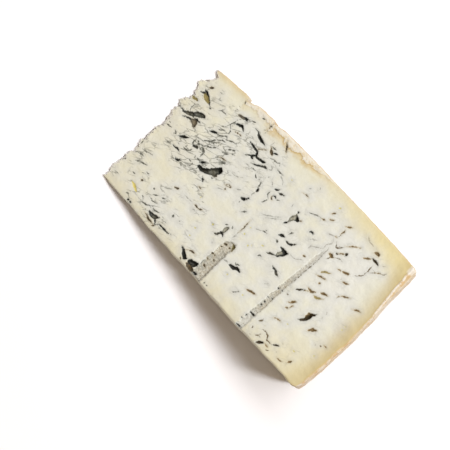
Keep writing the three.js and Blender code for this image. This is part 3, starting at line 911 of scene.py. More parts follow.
def mark_points(tree, marks):
    """Points close together along the marks, each with its half width. Pointed marks taper to their ends.

    Each point stands off its face, the more the narrower its mark is there, so that the point nearest
    to a place on the face is the one whose disc reaches furthest over that place.
    """
    lines = tree.add("GeometryNodeObjectInfo", inputs={"Object": marks}, out="Geometry")
    curves = tree.add("GeometryNodeMeshToCurve", inputs={"Mesh": lines})
    smooth = tree.add("GeometryNodeCurveSplineType", {"spline_type": "CATMULL_ROM"}, {"Curve": curves})
    inputs = {"Curve": smooth, "Length": MARK_STEP}
    even = tree.add("GeometryNodeResampleCurve", {"mode": "LENGTH"}, inputs)
    along = tree.add("GeometryNodeSplineParameter")
    taper = 0.1 + 0.9 * tree.largest(1.0 - abs(2.0 * along - 1.0) ** 1.5, 0.0) ** 0.9
    taper = tree.between(1.0, taper, tree.stored("pointed"))
    tapered = tree.with_stored(even, "half_width", tree.stored("half_width") * taper)
    points = tree.add("GeometryNodeCurveToPoints", {"mode": "EVALUATED"}, {"Curve": tapered})
    points = tree.with_stored(points, "centre", tree.position(), "FLOAT_VECTOR")
    half_width = tree.stored("half_width")
    stand_off = tree.math("SQRT", WIDEST_MARK * WIDEST_MARK - half_width * half_width)
    offset = tree.scaled(tree.stored("outward", "FLOAT_VECTOR"), stand_off)
    return tree.moved(points, "Offset", offset)


def nearest_mark(tree, marks, place, swelling):
    """The facts of the mark that a place lies furthest inside: how far outside it, and how it looks."""
    points = mark_points(tree, marks)
    inputs = {"Geometry": points, "Sample Position": place}
    index = tree.add("GeometryNodeSampleNearest", {"domain": "POINT"}, inputs)

    def sample(name, kind="FLOAT"):
        settings = {"data_type": kind, "domain": "POINT"}
        inputs = {"Geometry": points, "Value": tree.stored(name, kind), "Index": index}
        return tree.add("GeometryNodeSampleIndex", settings, inputs)

    distance = tree.vector("DISTANCE", place, sample("centre", "FLOAT_VECTOR"), out="Value")
    facts = {name: sample(name) for name in ("half_width", *MARK_FACTS)}
    facts["gap"] = distance - facts["half_width"] * swelling
    return facts


# What the eyes, veins and rinds do to the surface.
CARVING = {
    "Raggedness": 0.6,
    "Fine raggedness": 0.45,
    "Crumb relief": 0.16,
    "Rind relief": 0.35,
    "Tip raggedness": 0.6,
    "Flake width": 3.4,
    "Flake lift": 0.4,
    "Ridge lift": 0.35,
    "Ridge run in": 2.5,
}
# The relief fades in over this height above the base, so that the wedge lies flat.
BASE_GUARD = 1.5


def sunken_marks(tree, place, radius):
    """How deep the eyes and veins lie. Stores how far outside them a place is, and how they look."""
    size = tree.sizes
    coarse = tree.stray(place, "coarse strays", size["Raggedness"] * 2.0)
    fine = tree.stray(place, "fine strays", size["Fine raggedness"] * 2.0)
    ragged = tree.vector("ADD", tree.vector("ADD", place, coarse), fine)
    thickness = radius * math.tan(WEDGE["Wedge angle"]) + WEDGE["Tip thickness"]
    swelling = 0.55 + 0.9 * tree.noise(place, "eye widths") - 0.15 * tree.smooth(radius, 100.0, 125.0)
    dip = 0.0
    for name, marks in (("eye", size["Eyes"]), ("vein", size["Veins"])):
        facts = nearest_mark(tree, marks, ragged, swelling)
        wall = facts["half_width"] * 0.35 + 0.2
        inside = tree.smooth(-facts["gap"], -0.1, wall)
        uneven = 0.55 + 0.9 * tree.noise(place, "eye depths")
        dip = tree.largest(dip, tree.smallest(facts["depth"] * uneven, thickness * 0.4) * inside)
        tree.store(f"{name}_gap", facts["gap"])
        for fact in MARK_FACTS[:-1]:
            tree.store(f"{name}_{fact}", facts[fact])
    return dip


def surface_relief(tree, place, radius):
    """How far crumbs, waves, the creases of the rinds and the tears of the tip lift the surface."""
    size = tree.sizes
    crumb = (tree.noise(place, "crumbs") - 0.5) * 2.0 * size["Crumb relief"]
    wave = (tree.noise(place, "waves") - 0.5) * 2.0 * size["Crumb relief"]
    skin = tree.smooth(tree.smallest(tree.stored("rim_depth"), tree.stored("side_depth")), 0.6, 0.0)
    creased = tree.vector("MULTIPLY", place, (1.0, 0.45, 1.0))
    crease = (tree.noise(creased, "rind creases") - 0.5) * 2.0 * size["Rind relief"] * skin
    tip = tree.smooth(radius, 12.0, 4.0)
    torn = (tree.noise(place, "tip crumbs") - 0.62) * 2.0 * size["Tip raggedness"] * tip
    return crumb + wave + crease + torn


def crust_relief(tree, place, radius, y):
    """How far the flakes and the ridge of the crust stand up. Stores how far outside them a place is."""
    size = tree.sizes
    flaky = tree.smooth(radius, 28.5, 30.5) * tree.smooth(radius, 103.0, 70.0)
    lobes = 0.35 + tree.smooth(tree.noise(place, "flake lobes"), 0.3, 0.7)
    flake_gap = tree.stored("side_depth") - 0.3 - flaky * size["Flake width"] * lobes
    ridge = 0.3 + size["Ridge run in"] * tree.smooth(y, 42.0, 80.0)
    ridge = ridge + 2.0 * (tree.noise(place, "ridge wander") - 0.5)
    ridge_gap = tree.stored("rim_depth") - ridge
    tree.store("flaky", flaky)
    tree.store("flake_gap", flake_gap)
    tree.store("ridge_gap", ridge_gap)
    flakes = tree.smooth(flake_gap, 0.2, -0.3) * (0.25 + 0.75 * flaky) * size["Flake lift"]
    crust = tree.smooth(abs(ridge_gap + 0.4), 0.7, 0.2) * size["Ridge lift"]
    return tree.largest(flakes, crust) * 2.0 * tree.noise(place, "flake grain")


def carving_tree(material, eyes, veins):
    """Sinks the eyes and veins into the wedge, and roughens its surfaces."""
    tree = GeometryTree("Eyes and veins", {**CARVING, "Eyes": eyes, "Veins": veins, "Paste": material})
    place = tree.stored("wheel_place", "FLOAT_VECTOR")
    radius, y, _ = tree.split(place)
    dip = sunken_marks(tree, place, radius)
    relief = surface_relief(tree, place, radius) + crust_relief(tree, place, radius, y) - dip
    off_base = tree.smooth(tree.split(tree.position())[2], 0.0, BASE_GUARD * MM)
    normal = tree.add("GeometryNodeInputNormal")
    tree.geometry = tree.moved(tree.geometry, "Offset", tree.scaled(normal, relief * MM * off_base))
    held = tree.vector("MAXIMUM", tree.position(), tuple(CAD_LOW))
    held = tree.vector("MINIMUM", held, tuple(CAD_HIGH))
    tree.geometry = tree.moved(tree.geometry, "Position", held)
    tree.end(tree.sizes["Paste"])
    return tree


# Which way each marked side faces, in the wheel.
OUTWARD = {"face": (0.0, 0.0, 1.0), "halved": (0.0, -1.0, 0.0), "base": (0.0, 0.0, -1.0)}


def drawn_out(end, inner, length):
    """The end of a line moved on by this length, away from its inner neighbour."""
    run = math.dist(end, inner)
    return tuple(a + (a - b) * length / run for a, b in zip(end, inner))


def stroke(side, kind, half_width, line):
    """A mark of one half width, drawn out by as much at both ends because it comes to a point there."""
    if len(line) == 1:
        x, y, z = line[0]
        line = [(x - DOT_LENGTH / 2, y, z), (x + DOT_LENGTH / 2, y, z)]
    start = drawn_out(line[0], line[1], half_width)
    end = drawn_out(line[-1], line[-2], half_width)
    line = [start, *line[1:-1], end]
    return side, kind, [half_width] * len(line), line, 1.0


def mark_lines(name, marks):
    """Marks as joined points, with each one's looks in its points' attributes."""
    points = []
    edges = []
    outward = []
    facts = {key: [] for key in ("half_width", "pointed", *MARK_FACTS)}
    for side, kind, half_widths, line, pointed in marks:
        strength, brown, yellow, pale, least, share = LOOKS[kind]
        first = len(points)
        points.extend(line)
        edges.extend((k, k + 1) for k in range(first, len(points) - 1))
        for half_width in half_widths:
            found = (half_width, pointed, strength, brown, yellow, pale, least + share * half_width)
            for key, value in zip(facts, found):
                facts[key].append(value)
        outward.extend(OUTWARD[side] * len(line))
    lines = mesh_object(name, points, edges, [])
    for key, values in facts.items():
        lines.data.attributes.new(key, "FLOAT", "POINT").data.foreach_set("value", values)
    lines.data.attributes.new("outward", "FLOAT_VECTOR", "POINT").data.foreach_set("vector", outward)
    lines.hide_render = True
    return lines


def on_face(kind, marks):
    """Marks of one kind in the upper face."""
    return [stroke("face", kind, mark[0], [(r, y, 0.0) for r, y in mark[1:]]) for mark in marks]


def shaped_on_face(marks):
    """Marks in the upper face that have a half width of their own at each point."""
    found = []
    for kind, *line in marks:
        half_widths = [half_width for _, _, half_width in line]
        found.append(("face", kind, half_widths, [(r, y, 0.0) for r, y, _ in line], 0.0))
    return found


def stray_marks(draw, count, side, place):
    """Marks strewn over a hidden side. place turns two shares from 0 to 1 into a place in the wheel."""
    found = []
    for _ in range(count):
        half_width = STRAY_LEAST + STRAY_MORE * draw.random() ** 3
        kind = draw.choice(("black", "black", "brown")) if half_width > STRAY_EYE_FROM else "vein"
        u = draw.random()
        v = 0.5 + (draw.random() - 0.5) * draw.uniform(*STRAY_SPREAD)
        slope = math.radians(draw.gauss(*STRAY_SLOPE))
        length = draw.uniform(*STRAY_LENGTH) * (1 + half_width)
        line = []
        for k in (-1, 0, 1):
            along = k * length / 2
            x = along * math.cos(slope)
            y = along * math.sin(slope) + draw.uniform(-STRAY_WANDER, STRAY_WANDER)
            line.append(place(u, v, x, y))
        found.append(stroke(side, kind, half_width, line))
    return found


def on_halved_side(u, v, x, y):
    """The place x along and y up from these shares of the halved side."""
    radius = SIDE_START + STRAY_RUN * u + x
    share = min(max(v + y / (radius * SIDE_SLOPE), SIDE_MARGIN), 1 - SIDE_MARGIN)
    return radius, 0.0, -radius * WEDGE["Wedge angle"] * share


def on_base(u, v, x, y):
    """The place x along and y across from these shares of the base."""
    radius = BASE_START[0] + STRAY_RUN * u + x
    return radius, BASE_START[1] + BASE_SPAN * v + y, -radius * WEDGE["Wedge angle"]


class PaintTree(Tree):
    """A material's tree, which reads what the geometry trees have stored."""

    def __init__(self, name):
        self.material = bpy.data.materials.new(name)
        self.material.use_nodes = True
        self.material.node_tree.nodes.clear()
        super().__init__(self.material.node_tree)

    def stored(self, name, out="Fac"):
        return self.add("ShaderNodeAttribute", {"attribute_name": name}, out=out)

    def mix(self, factor, a, b):
        """Colour a, turning into colour b as factor goes from 0 to 1."""
        inputs = {0: factor, 6: opaque(a), 7: opaque(b)}
        return self.add("ShaderNodeMix", {"data_type": "RGBA"}, inputs, out=2)

    def bump(self, height, strength):
        """The normal of a surface with this height in millimetres."""
        inputs = {"Strength": strength, "Distance": MM, "Height": height}
        return self.add("ShaderNodeBump", inputs=inputs)

    def finish(self, sockets):
        """Ends the tree in one surface, and returns the material."""
        shader = self.add("ShaderNodeBsdfPrincipled", inputs=sockets)
        self.add("ShaderNodeOutputMaterial", inputs={"Surface": shader})
        return self.material


class PastePaint(PaintTree):
    """The paste's tree, with the place in the wheel and the noises that its colours share."""

    def __init__(self, name):
        super().__init__(name)
        self.place = self.stored("wheel_place", "Vector")
        self.radius, self.y, self.depth = self.split(self.place)
        self.clouds = self.noise(self.place, "clouds")
        self.mottle = self.noise(self.place, "mottle")
        self.grain = self.noise(self.place, "grain")
        self.fine = self.noise(self.place, "fine grain")

    def uneven(self, value, **amounts):
        """The value, made uneven by so much of each of the named noises."""
        for name, amount in amounts.items():
            value = value + (getattr(self, name) - 0.5) * amount
        return value


def opaque(colour):
    return colour if isinstance(colour, Value) else (*colour, 1.0)


# Colours of the paste, its rinds, its moulds and the floor, as shares of the light that they return.
IVORY = (0.672, 0.683, 0.630)
WHITER_PASTE = (0.715, 0.725, 0.69)
# Broken paste is paler, and this one is lighter still as painted light on the broken tip's shaded wall.
PALE_AND_LIT_BROKEN_PASTE = (0.92, 0.91, 0.84)
CREAM = (0.697, 0.698, 0.590)
YELLOW_PASTE = (0.70, 0.615, 0.32)
RIM_PASTE = (0.53, 0.43, 0.20)
AMBER = (0.58, 0.42, 0.16)
# A darker amber for the painted shadow along the edge of the crust's flakes.
SHADOW_AMBER = (0.40, 0.26, 0.09)
FLAKE = (0.755, 0.725, 0.63)
RIDGE = (0.80, 0.77, 0.70)
RIND = (0.63, 0.525, 0.365)
RIND_ORANGE = (0.58, 0.40, 0.20)
RIND_BLOOM = (0.70, 0.64, 0.54)
RIND_GREY = (0.40, 0.38, 0.33)
BED_PALE = (0.60, 0.585, 0.50)
BED_GREY = (0.34, 0.33, 0.275)
BED_BROWN = (0.40, 0.34, 0.23)
BLACK_MOULD = (0.014, 0.015, 0.011)
DARK_BROWN_MOULD = (0.045, 0.029, 0.009)
DUSTY_MOULD = (0.37, 0.36, 0.27)
GREEN_MOULD = (0.115, 0.12, 0.09)
BROWN_MOULD = (0.235, 0.145, 0.04)
STAIN = (0.475, 0.49, 0.455)
BROWN_STAIN = (0.50, 0.41, 0.22)
YELLOW_MOULD = (0.58, 0.52, 0.13)
RIPE_MOULD = (0.60, 0.50, 0.08)
FLOOR_DARK = (0.885, 0.88, 0.91)
FLOOR_LIGHT = (0.895, 0.89, 0.92)

# Veins run at this slope across the wedge, from the tip to the rim, and are stretched along it.
VEIN_SLOPE = math.radians(22.0)
VEIN_STRETCH = 0.32

# Zones of the upper face, where the paste is brighter and whiter and where the finest cracks crowd. Their
# limits are distances from the axis and from the halved side: where each starts, is full, fades and ends.
WHITER_ZONE = ((105.0, 128.0, 138.0, 152.0), (30.0, 48.0, 66.0, 78.0))
CROWDED_ZONE = ((14.0, 26.0, 40.0, 52.0), (22.0, 34.0, 58.0, 70.0))


def along_veins(tree):
    """The place turned and squeezed so that an even pattern on it runs along the veins."""
    along = tree.radius * math.cos(VEIN_SLOPE) + tree.y * math.sin(VEIN_SLOPE)
    across = tree.y * math.cos(VEIN_SLOPE) - tree.radius * math.sin(VEIN_SLOPE)
    return tree.join(along * VEIN_STRETCH, across, tree.depth)


def network(tree, place, cell, width):
    """A network of cracks with cells of about this size: 1 in a crack, 0 outside."""
    inputs = {"Vector": place, "Scale": 1.0 / cell}
    edge = tree.add("ShaderNodeTexVoronoi", {"feature": "DISTANCE_TO_EDGE"}, inputs, out="Distance")
    return tree.smooth(edge * cell, width, 0.0)


def flecks(tree, place, cell, share, largest):
    """Flecks in a share of the cells, each of its own size: 1 in a fleck, 0 outside."""
    inputs = {"Vector": place, "Scale": 1.0 / cell}
    dots = tree.add("ShaderNodeTexVoronoi", inputs=inputs, out="Distance")
    chance, size, _ = tree.split(dots.part("Color"))
    half_width = (0.25 + 0.75 * size) * largest
    return tree.smooth(dots * cell - half_width, 0.1, -0.1) * (chance < share)


def shaded(tree, colour, shade):
    """The colour, darker where shade is under 1."""
    return tree.vector("MULTIPLY", colour, tree.join(shade, shade, shade))


def paste_colour(tree, gap):
    """Cream paste, whiter round its moulds, yellower towards its outsides, darkened by painted shade
    along the halved side's edge, and palest where it broke, partly as painted light on the tip's shaded
    wall.
    """
    radius = tree.radius
    y = tree.y
    creamy = tree.smooth(tree.uneven(gap, clouds=12.0, mottle=5.0), 0.5, 6.0)
    paste = tree.mix(creamy, IVORY, CREAM)
    near_rim = tree.smooth(radius, 118.0, 148.0)
    side_depth = tree.uneven(tree.stored("side_depth"), clouds=12.0)
    by_side = tree.smooth(side_depth, 12.0 + 6.0 * near_rim, 0.0)
    by_side = by_side * (0.3 + 0.6 * tree.smooth(radius, 80.0, 148.0))
    by_halved = tree.smooth(tree.uneven(y, clouds=12.0), 11.0 + 22.0 * near_rim, 0.0)
    by_halved = by_halved * (0.35 + 0.22 * near_rim)
    by_tip = tree.smooth(tree.uneven(radius, clouds=40.0), 50.0, 5.0) * 0.22
    yellow = tree.uneven(tree.largest(by_side, tree.largest(by_halved, by_tip)), mottle=0.35)
    paste = tree.mix(tree.limited(yellow), paste, YELLOW_PASTE)
    rim_depth = tree.uneven(tree.stored("rim_depth"), clouds=6.0, mottle=2.0)
    by_rim = tree.smooth(rim_depth, 12.5, 0.5) * (0.6 + 0.25 * tree.smooth(y, 1.0, 16.0))
    paste = tree.mix(by_rim, paste, RIM_PASTE)
    # Painted shade: the paste darkens a little along the halved side's edge, away from the rim.
    halved_edge_shade = tree.smooth(tree.uneven(y, mottle=4.0), 8.0, 1.0) * (1.0 - near_rim)
    paste = shaded(tree, paste, 1.0 - 0.07 * halved_edge_shade)
    # The broken tip gets the palest paste, partly painted light where its wall faces away from the lamps.
    return tree.mix(tree.smooth(tree.stored("tip_depth"), 0.6, 0.1), paste, PALE_AND_LIT_BROKEN_PASTE)


def skin_colour(tree, paste):
    """The paste's skin along the rind side: amber, sharply cut off by the crust's pale flakes, with a
    painted shadow in darker amber along their edge.
    """
    flake_gap = tree.uneven(tree.stored("flake_gap"), grain=0.8)
    flaky = tree.stored("flaky")
    past_steps = tree.smooth(tree.radius, 42.0, 58.0)
    by_tip = tree.smooth(tree.radius, 32.0, 26.0)
    soft = tree.smooth(flake_gap, 4.0, 0.0) ** 1.4 * (0.5 + 1.0 * tree.mottle)
    strength = 0.14 + 0.36 * by_tip + 0.66 * flaky * past_steps
    colour = tree.mix(tree.limited(soft * strength), paste, AMBER)
    # Painted shadow: a line of darker amber along the edge of the flakes, where they would cast shade.
    edge = tree.smooth(abs(flake_gap - 0.2), 0.5, 0.05) * tree.smooth(tree.mottle, 0.35, 0.55)
    colour = tree.mix(edge * (0.08 + 0.3 * flaky * past_steps), colour, SHADOW_AMBER)
    outer = tree.smooth(tree.stored("side_depth"), 1.4, 0.3) * (1.0 - past_steps) * 0.35
    speckled = tree.smooth(tree.grain + tree.mottle, 1.02, 1.2) * 0.45
    flake = tree.mix(tree.largest(outer * flaky, speckled), FLAKE, AMBER)
    return tree.mix(tree.smooth(flake_gap, 0.1, -0.15) * (0.5 + 0.45 * flaky), colour, flake)


def ridge_colour(tree, paste):
    """The ridge of crust along the rim: an amber foot, worn rind, a pale crest and its two corners."""
    ridge_gap = tree.uneven(tree.stored("ridge_gap"), grain=0.6)
    far_half = tree.smooth(tree.y, 30.0, 62.0)
    foot = tree.smooth(ridge_gap, 1.5, 0.1) * (0.55 - 0.25 * far_half)
    colour = tree.mix(foot * tree.smooth(tree.y, -8.0, 14.0), paste, AMBER)
    worn = tree.mix(tree.smooth(tree.uneven(tree.mottle, grain=0.5), 0.42, 0.62), RIND_ORANGE, RIND)
    colour = tree.mix(tree.smooth(ridge_gap, 0.1, -0.2) * 0.85, colour, worn)
    speckled = tree.smooth(tree.grain + tree.mottle, 0.8, 1.05)
    crest = tree.smooth(abs(ridge_gap + 0.4), 0.75, 0.3) * speckled
    colour = tree.mix(crest * (0.35 + 0.45 * far_half), colour, RIDGE)
    rim_depth = tree.stored("rim_depth")
    rind_corner = tree.smooth(tree.uneven(tree.y, grain=2.0), 78.5, 80.5)
    colour = tree.mix(rind_corner * tree.smooth(rim_depth, 4.5, 3.0) * 0.75, colour, RIDGE)
    halved_corner = tree.smooth(tree.y, 2.0, 0.2)
    halved_corner = halved_corner * tree.smooth(tree.uneven(rim_depth, mottle=3.0), 4.0, 1.0)
    return tree.mix(halved_corner * 0.3, colour, RIND_ORANGE)


def rind_colour(tree):
    """A tan rind with orange streaks, a white bloom and a few grey moulds."""
    streaks = tree.noise(tree.vector("MULTIPLY", tree.place, (1.0, 0.3, 1.0)), "rind streaks")
    streaks = streaks + tree.smooth(tree.y, 40.0, 3.0) * 0.12
    rind = tree.mix(tree.smooth(streaks, 0.42, 0.66), RIND, RIND_ORANGE)
    bloom = tree.smooth(tree.uneven(tree.mottle, clouds=0.5, grain=0.3), 0.44, 0.62)
    rind = tree.mix(bloom * 0.8, rind, RIND_BLOOM)
    spots = tree.smooth(tree.noise(tree.place, "rind spots"), 0.64, 0.72)
    return tree.mix(spots * 0.5, rind, RIND_GREY)


def bed_colour(tree, trench):
    """The crumbly bed of a needle channel: grey and brown with pale crumbs, whiter in places, and
    lightened by painted light along the walls of the first channel.
    """
    crumbs = tree.smooth(tree.uneven(tree.grain, fine=0.7, mottle=0.5), 0.39, 0.6)
    ground = tree.mix(tree.smooth(tree.mottle, 0.42, 0.62), BED_GREY, BED_BROWN)
    colour = tree.mix(crumbs, ground, BED_PALE)
    mouth = tree.smooth(tree.grain + tree.mottle, 0.85, 1.0) * tree.smooth(tree.y, 15.0, 9.0)
    colour = tree.mix(mouth * (tree.radius > BETWEEN_CHANNELS) * 0.75, colour, IVORY)
    # Painted light: the shallow edges of the first channel are lightened, against the shade of its steep
    # walls.
    wall = tree.smooth(trench, 1.4, 0.6) * tree.smooth(tree.mottle, 0.3, 0.5)
    return tree.mix(wall * (tree.radius < BETWEEN_CHANNELS) * 0.6, colour, IVORY)


def zone(tree, along, across):
    """1 in a zone of the upper face and 0 outside it, with the given limits along and across it."""
    inside = 1.0
    for value, (start, full, fading, end) in ((tree.radius, along), (tree.y, across)):
        inside = inside * tree.smooth(value, start, full) * tree.smooth(value, end, fading)
    return inside


def with_fine_marks(tree, colour, gap, inside):
    """The colour with the finest cracks, hairs and pits, and where the cracks and pits are open."""
    veins = along_veins(tree)
    crowded = zone(tree, *CROWDED_ZONE)
    veiny = 0.25 + 0.75 * tree.smooth(tree.uneven(tree.radius, clouds=40.0), 80.0, 50.0)
    near = tree.smooth(gap, 5.0, 0.5) * veiny
    patchy = tree.smooth(tree.noise(tree.place, "crack patches") + 0.13 * crowded, 0.44, 0.6)
    crack_place = tree.vector("ADD", veins, tree.stray(veins, "crack strays", 3.2))
    cracks = network(tree, crack_place, cell=3.0, width=0.22) * near * patchy * inside
    hair_place = tree.vector("ADD", veins, tree.stray(veins, "hair strays", 4.0))
    hairs = tree.smooth(abs(tree.noise(hair_place, "hair swirls") - 0.5), 0.014, 0.002) * inside
    hairs = hairs * tree.smooth(tree.mottle, 0.42, 0.6)
    hairs = hairs * (0.1 + 0.9 * tree.smooth(gap, 9.0, 1.0)) * veiny
    pit_place = tree.vector("ADD", veins, tree.stray(veins, "pit strays", 1.6))
    pits = flecks(tree, pit_place, cell=1.5, share=0.16, largest=0.32) * inside
    pits = pits * tree.smooth(gap, 8.0, 1.0) * tree.smooth(tree.clouds, 0.4, 0.6) * veiny
    colour = tree.mix(hairs * 0.4, colour, STAIN)
    colour = tree.mix(cracks * (0.6 + 0.2 * crowded), colour, GREEN_MOULD)
    return tree.mix(pits * 0.8, colour, GREEN_MOULD), tree.largest(cracks, pits)


def eye_lining(tree, gap):
    """The mouldy lining of the eyes, darkened along their outlines by painted shade."""
    # Painted shade: the lining darkens along each eye's outline, where its wall would fall into shadow.
    outline_shade = tree.smooth(abs(gap + 0.3), 0.4, 0.0)
    pale = tree.uneven(tree.stored("eye_pale"), grain=1.3, mottle=1.6) - outline_shade * 0.55
    darkest = tree.mix(tree.smooth(tree.radius, 112.0, 126.0), BLACK_MOULD, DARK_BROWN_MOULD)
    lining = tree.mix(tree.limited(pale), darkest, GREEN_MOULD)
    dusty = tree.uneven(tree.stored("eye_pale"), grain=0.8) - outline_shade * 0.2
    lining = tree.mix(tree.smooth(dusty, 0.72, 1.0) * 0.75, lining, DUSTY_MOULD)
    by_rim = tree.smooth(tree.radius, 82.0, 112.0)
    # Mottling of the brown mould, with the painted shade of the outline taken off it.
    shade = tree.limited(0.35 + 1.4 * tree.fine - outline_shade * (0.7 - 0.25 * by_rim), 0.12, 1.3)
    browned = shaded(tree, BROWN_MOULD, shade * (0.5 + 0.5 * by_rim))
    brown = tree.limited(tree.uneven(tree.stored("eye_brown"), grain=0.5, mottle=1.2))
    lining = tree.mix(brown, lining, browned)
    crumbs = tree.smooth(tree.grain, 0.58, 0.66) * tree.stored("eye_pale") * (1.0 - outline_shade)
    lining = tree.mix(crumbs * 0.6, lining, STAIN)
    yellow = tree.mix(tree.smooth(tree.radius, 45.0, 25.0), YELLOW_MOULD, RIPE_MOULD)
    return tree.mix(tree.stored("eye_yellow"), lining, yellow)


def with_moulds(tree, colour, eye_gap, vein_gap):
    """The colour with the eyes and veins of the mark tables, and where the veins are open."""
    broken = 0.3 + 0.7 * tree.smooth(tree.noise(tree.place, "vein breaks"), 0.3, 0.5)
    vein_core = tree.smooth(vein_gap, 0.22, -0.06) * tree.stored("vein_strength") * broken
    vein_mould = tree.mix(tree.smooth(tree.radius, 95.0, 130.0) * 0.75, GREEN_MOULD, BROWN_MOULD)
    colour = tree.mix(vein_core, colour, shaded(tree, vein_mould, 0.25 + 0.8 * tree.grain))
    halo = tree.smooth(eye_gap, 0.9, 0.0) * tree.stored("eye_strength")
    stain = tree.mix(tree.stored("eye_brown") * 0.8, STAIN, BROWN_STAIN)
    colour = tree.mix(halo * (1.0 - tree.stored("eye_yellow")) * 0.4, colour, stain)
    eye_core = tree.smooth(eye_gap, 0.16, -0.1) * tree.stored("eye_strength")
    return tree.mix(eye_core, colour, eye_lining(tree, eye_gap)), vein_core


def paste_material():
    """Ivory paste with its moulds and both rinds."""
    tree = PastePaint("blue_cheese")
    gap = tree.smallest(tree.stored("eye_gap"), tree.stored("vein_gap"))
    frayed = (tree.noise(tree.place, "frayed edges") - 0.5) * 0.75
    eye_gap = tree.stored("eye_gap") + frayed
    vein_gap = tree.stored("vein_gap") + frayed * 0.5
    outside = tree.smallest(tree.stored("rim_depth"), tree.stored("side_depth"))
    on_rind = tree.smooth(outside, 0.4, 0.15)
    trench = tree.stored("trench")
    bed = tree.smooth(tree.uneven(trench, fine=0.6), 0.15, 0.5)

    colour = shaded(tree, paste_colour(tree, gap), 0.955 + 0.09 * tree.grain)
    colour = ridge_colour(tree, skin_colour(tree, colour))
    colour = tree.mix(on_rind, colour, rind_colour(tree))
    colour = tree.mix(bed, colour, bed_colour(tree, trench))
    # The paste is brighter and whiter over one zone of the upper face.
    colour = tree.mix(zone(tree, *WHITER_ZONE) * 0.55, colour, WHITER_PASTE)
    stained = tree.smooth(tree.uneven(gap, mottle=3.0), 2.2, 0.0)
    colour = tree.mix(stained * 0.22, colour, STAIN)
    colour, open_marks = with_fine_marks(tree, colour, gap, tree.smooth(outside, 3.0, 9.0))
    colour, open_veins = with_moulds(tree, colour, eye_gap, vein_gap)

    height = tree.grain * 0.26 + tree.fine * 0.12 + bed * tree.fine * 0.8 + on_rind * tree.mottle * 0.7
    height = height - tree.largest(open_marks, open_veins) * 0.35
    return tree.finish({
        "Base Color": colour,
        "Roughness": 0.48 + 0.3 * tree.grain,
        "Normal": tree.bump(height, 0.5),
        "IOR": 1.45,
    })


def floor_material():
    """A pale floor, a little uneven."""
    tree = PaintTree("pale_floor")
    cloud = tree.noise(tree.add("ShaderNodeTexCoord", out="Object"), "floor clouds")
    colour = tree.mix(cloud, FLOOR_DARK, FLOOR_LIGHT)
    return tree.finish({"Base Color": colour, "Roughness": 0.7 + 0.1 * cloud})


def bake_modifiers(piece):
    """Gives the piece the mesh that its modifiers make, and takes them off."""
    graph = bpy.context.evaluated_depsgraph_get()
    mesh = bpy.data.meshes.new_from_object(piece.evaluated_get(graph), depsgraph=graph)
    piece.modifiers.clear()
    old = piece.data
    piece.data = mesh
    bpy.data.meshes.remove(old)


def make_wedge(material):
    """The wedge, made from a unit shell and the lines of its marks, with its paste and both rinds."""
    draw = random.Random(STRAY_SEED)
    hidden = stray_marks(draw, SIDE_MARKS, "halved", on_halved_side)
    hidden += stray_marks(draw, BASE_MARKS, "base", on_base)
    eyes = shaped_on_face(SHAPED_EYES) + on_face("black", BLACK_EYES)
    eyes += on_face("brown", BROWN_EYES) + on_face("yellow", YELLOW_SPOTS)
    eyes += [mark for mark in hidden if mark[1] != "vein"]
    veins = on_face("vein", VEINS) + on_face("faint", FAINT_VEINS)
    veins += [mark for mark in hidden if mark[1] == "vein"]
    helpers = [mark_lines("eye_lines", eyes), mark_lines("vein_lines", veins)]

    wedge = unit_shell()
    wedge_tree(material).put_on(wedge)
    carving_tree(material, *helpers).put_on(wedge)
    bake_modifiers(wedge)
    wedge.name = "cheese_paste_and_rind"
    wedge.data.name = wedge.name
    wedge.data.shade_smooth()
    for helper in helpers:
        bpy.data.objects.remove(helper)
    return wedge


# How far the floor reaches each way, and how far it lies under the wedge, in metres.
FLOOR_REACH = 12.0
FLOOR_GAP = 0.0002


def make_floor():
    square = ((-1, -1), (1, -1), (1, 1), (-1, 1))
    corners = [(x * FLOOR_REACH, y * FLOOR_REACH, -FLOOR_GAP) for x, y in square]
    floor = mesh_object("pale_floor", corners, [], [(0, 1, 2, 3)])
    floor.data.materials.append(floor_material())
    return floor


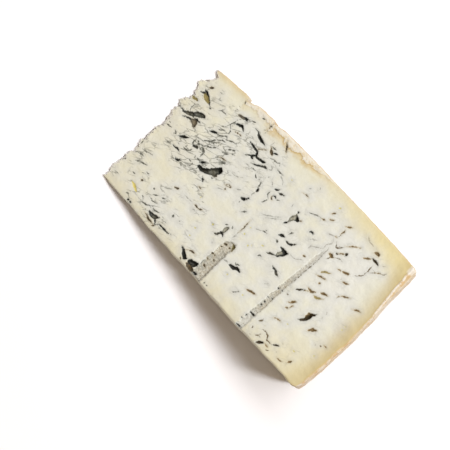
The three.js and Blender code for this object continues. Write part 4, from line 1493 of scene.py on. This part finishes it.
# The camera looks straight down. It hangs over a place in the wheel, at a height in metres, and its
# turn is in degrees.
CAMERA_OVER = (67.1, 29.65)
CAMERA_HEIGHT = 0.730
CAMERA_TURN = 47.1
CAMERA_LENS = 110.2
CAMERA_SENSOR = 36.0
CAMERA_CLIP = (0.05, 20.0)
# Two softboxes hang level overhead: a small one over the rim and the rind side, and a long one over
# the rind side. Each has a place, a length, a width, a turn and a power.
SOFTBOXES = {
    "rim_softbox": ((1.26, 0.92, 3.07), 1.23, 0.34, 30.0, 67.6),
    "rind_softbox": ((0.18, 1.40, 3.07), 3.01, 0.95, -11.5, 76.7),
}
# The even light from all around.
FILL = 0.30
FILL_COLOUR = (1.0, 0.80, 0.63)


def make_camera():
    data = bpy.data.cameras.new("camera")
    data.lens = CAMERA_LENS
    data.sensor_width = CAMERA_SENSOR
    data.clip_start, data.clip_end = CAMERA_CLIP
    camera = bpy.data.objects.new("camera", data)
    camera.location = ((CAMERA_OVER[0] - MIDDLE_X) * MM, (CAMERA_OVER[1] - MIDDLE_Y) * MM, CAMERA_HEIGHT)
    camera.rotation_euler = (0.0, 0.0, math.radians(CAMERA_TURN))
    bpy.context.scene.collection.objects.link(camera)
    bpy.context.scene.camera = camera


def make_lights():
    for name, (place, length, width, turn, power) in SOFTBOXES.items():
        data = bpy.data.lights.new(name, "AREA")
        data.shape = "RECTANGLE"
        data.size = length
        data.size_y = width
        data.energy = power
        softbox = bpy.data.objects.new(name, data)
        softbox.location = place
        softbox.rotation_euler = (0.0, 0.0, math.radians(turn))
        bpy.context.scene.collection.objects.link(softbox)

    world = bpy.data.worlds.new("studio")
    world.use_nodes = True
    background = world.node_tree.nodes["Background"]
    background.inputs["Color"].default_value = (*FILL_COLOUR, 1.0)
    background.inputs["Strength"].default_value = FILL
    bpy.context.scene.world = world
    bpy.context.scene.view_settings.view_transform = "Standard"


make_camera()
make_lights()
floor = make_floor()

cheese = paste_material()
wedge = make_wedge(cheese)
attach(wedge, "root")
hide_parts("cheese_wedge")
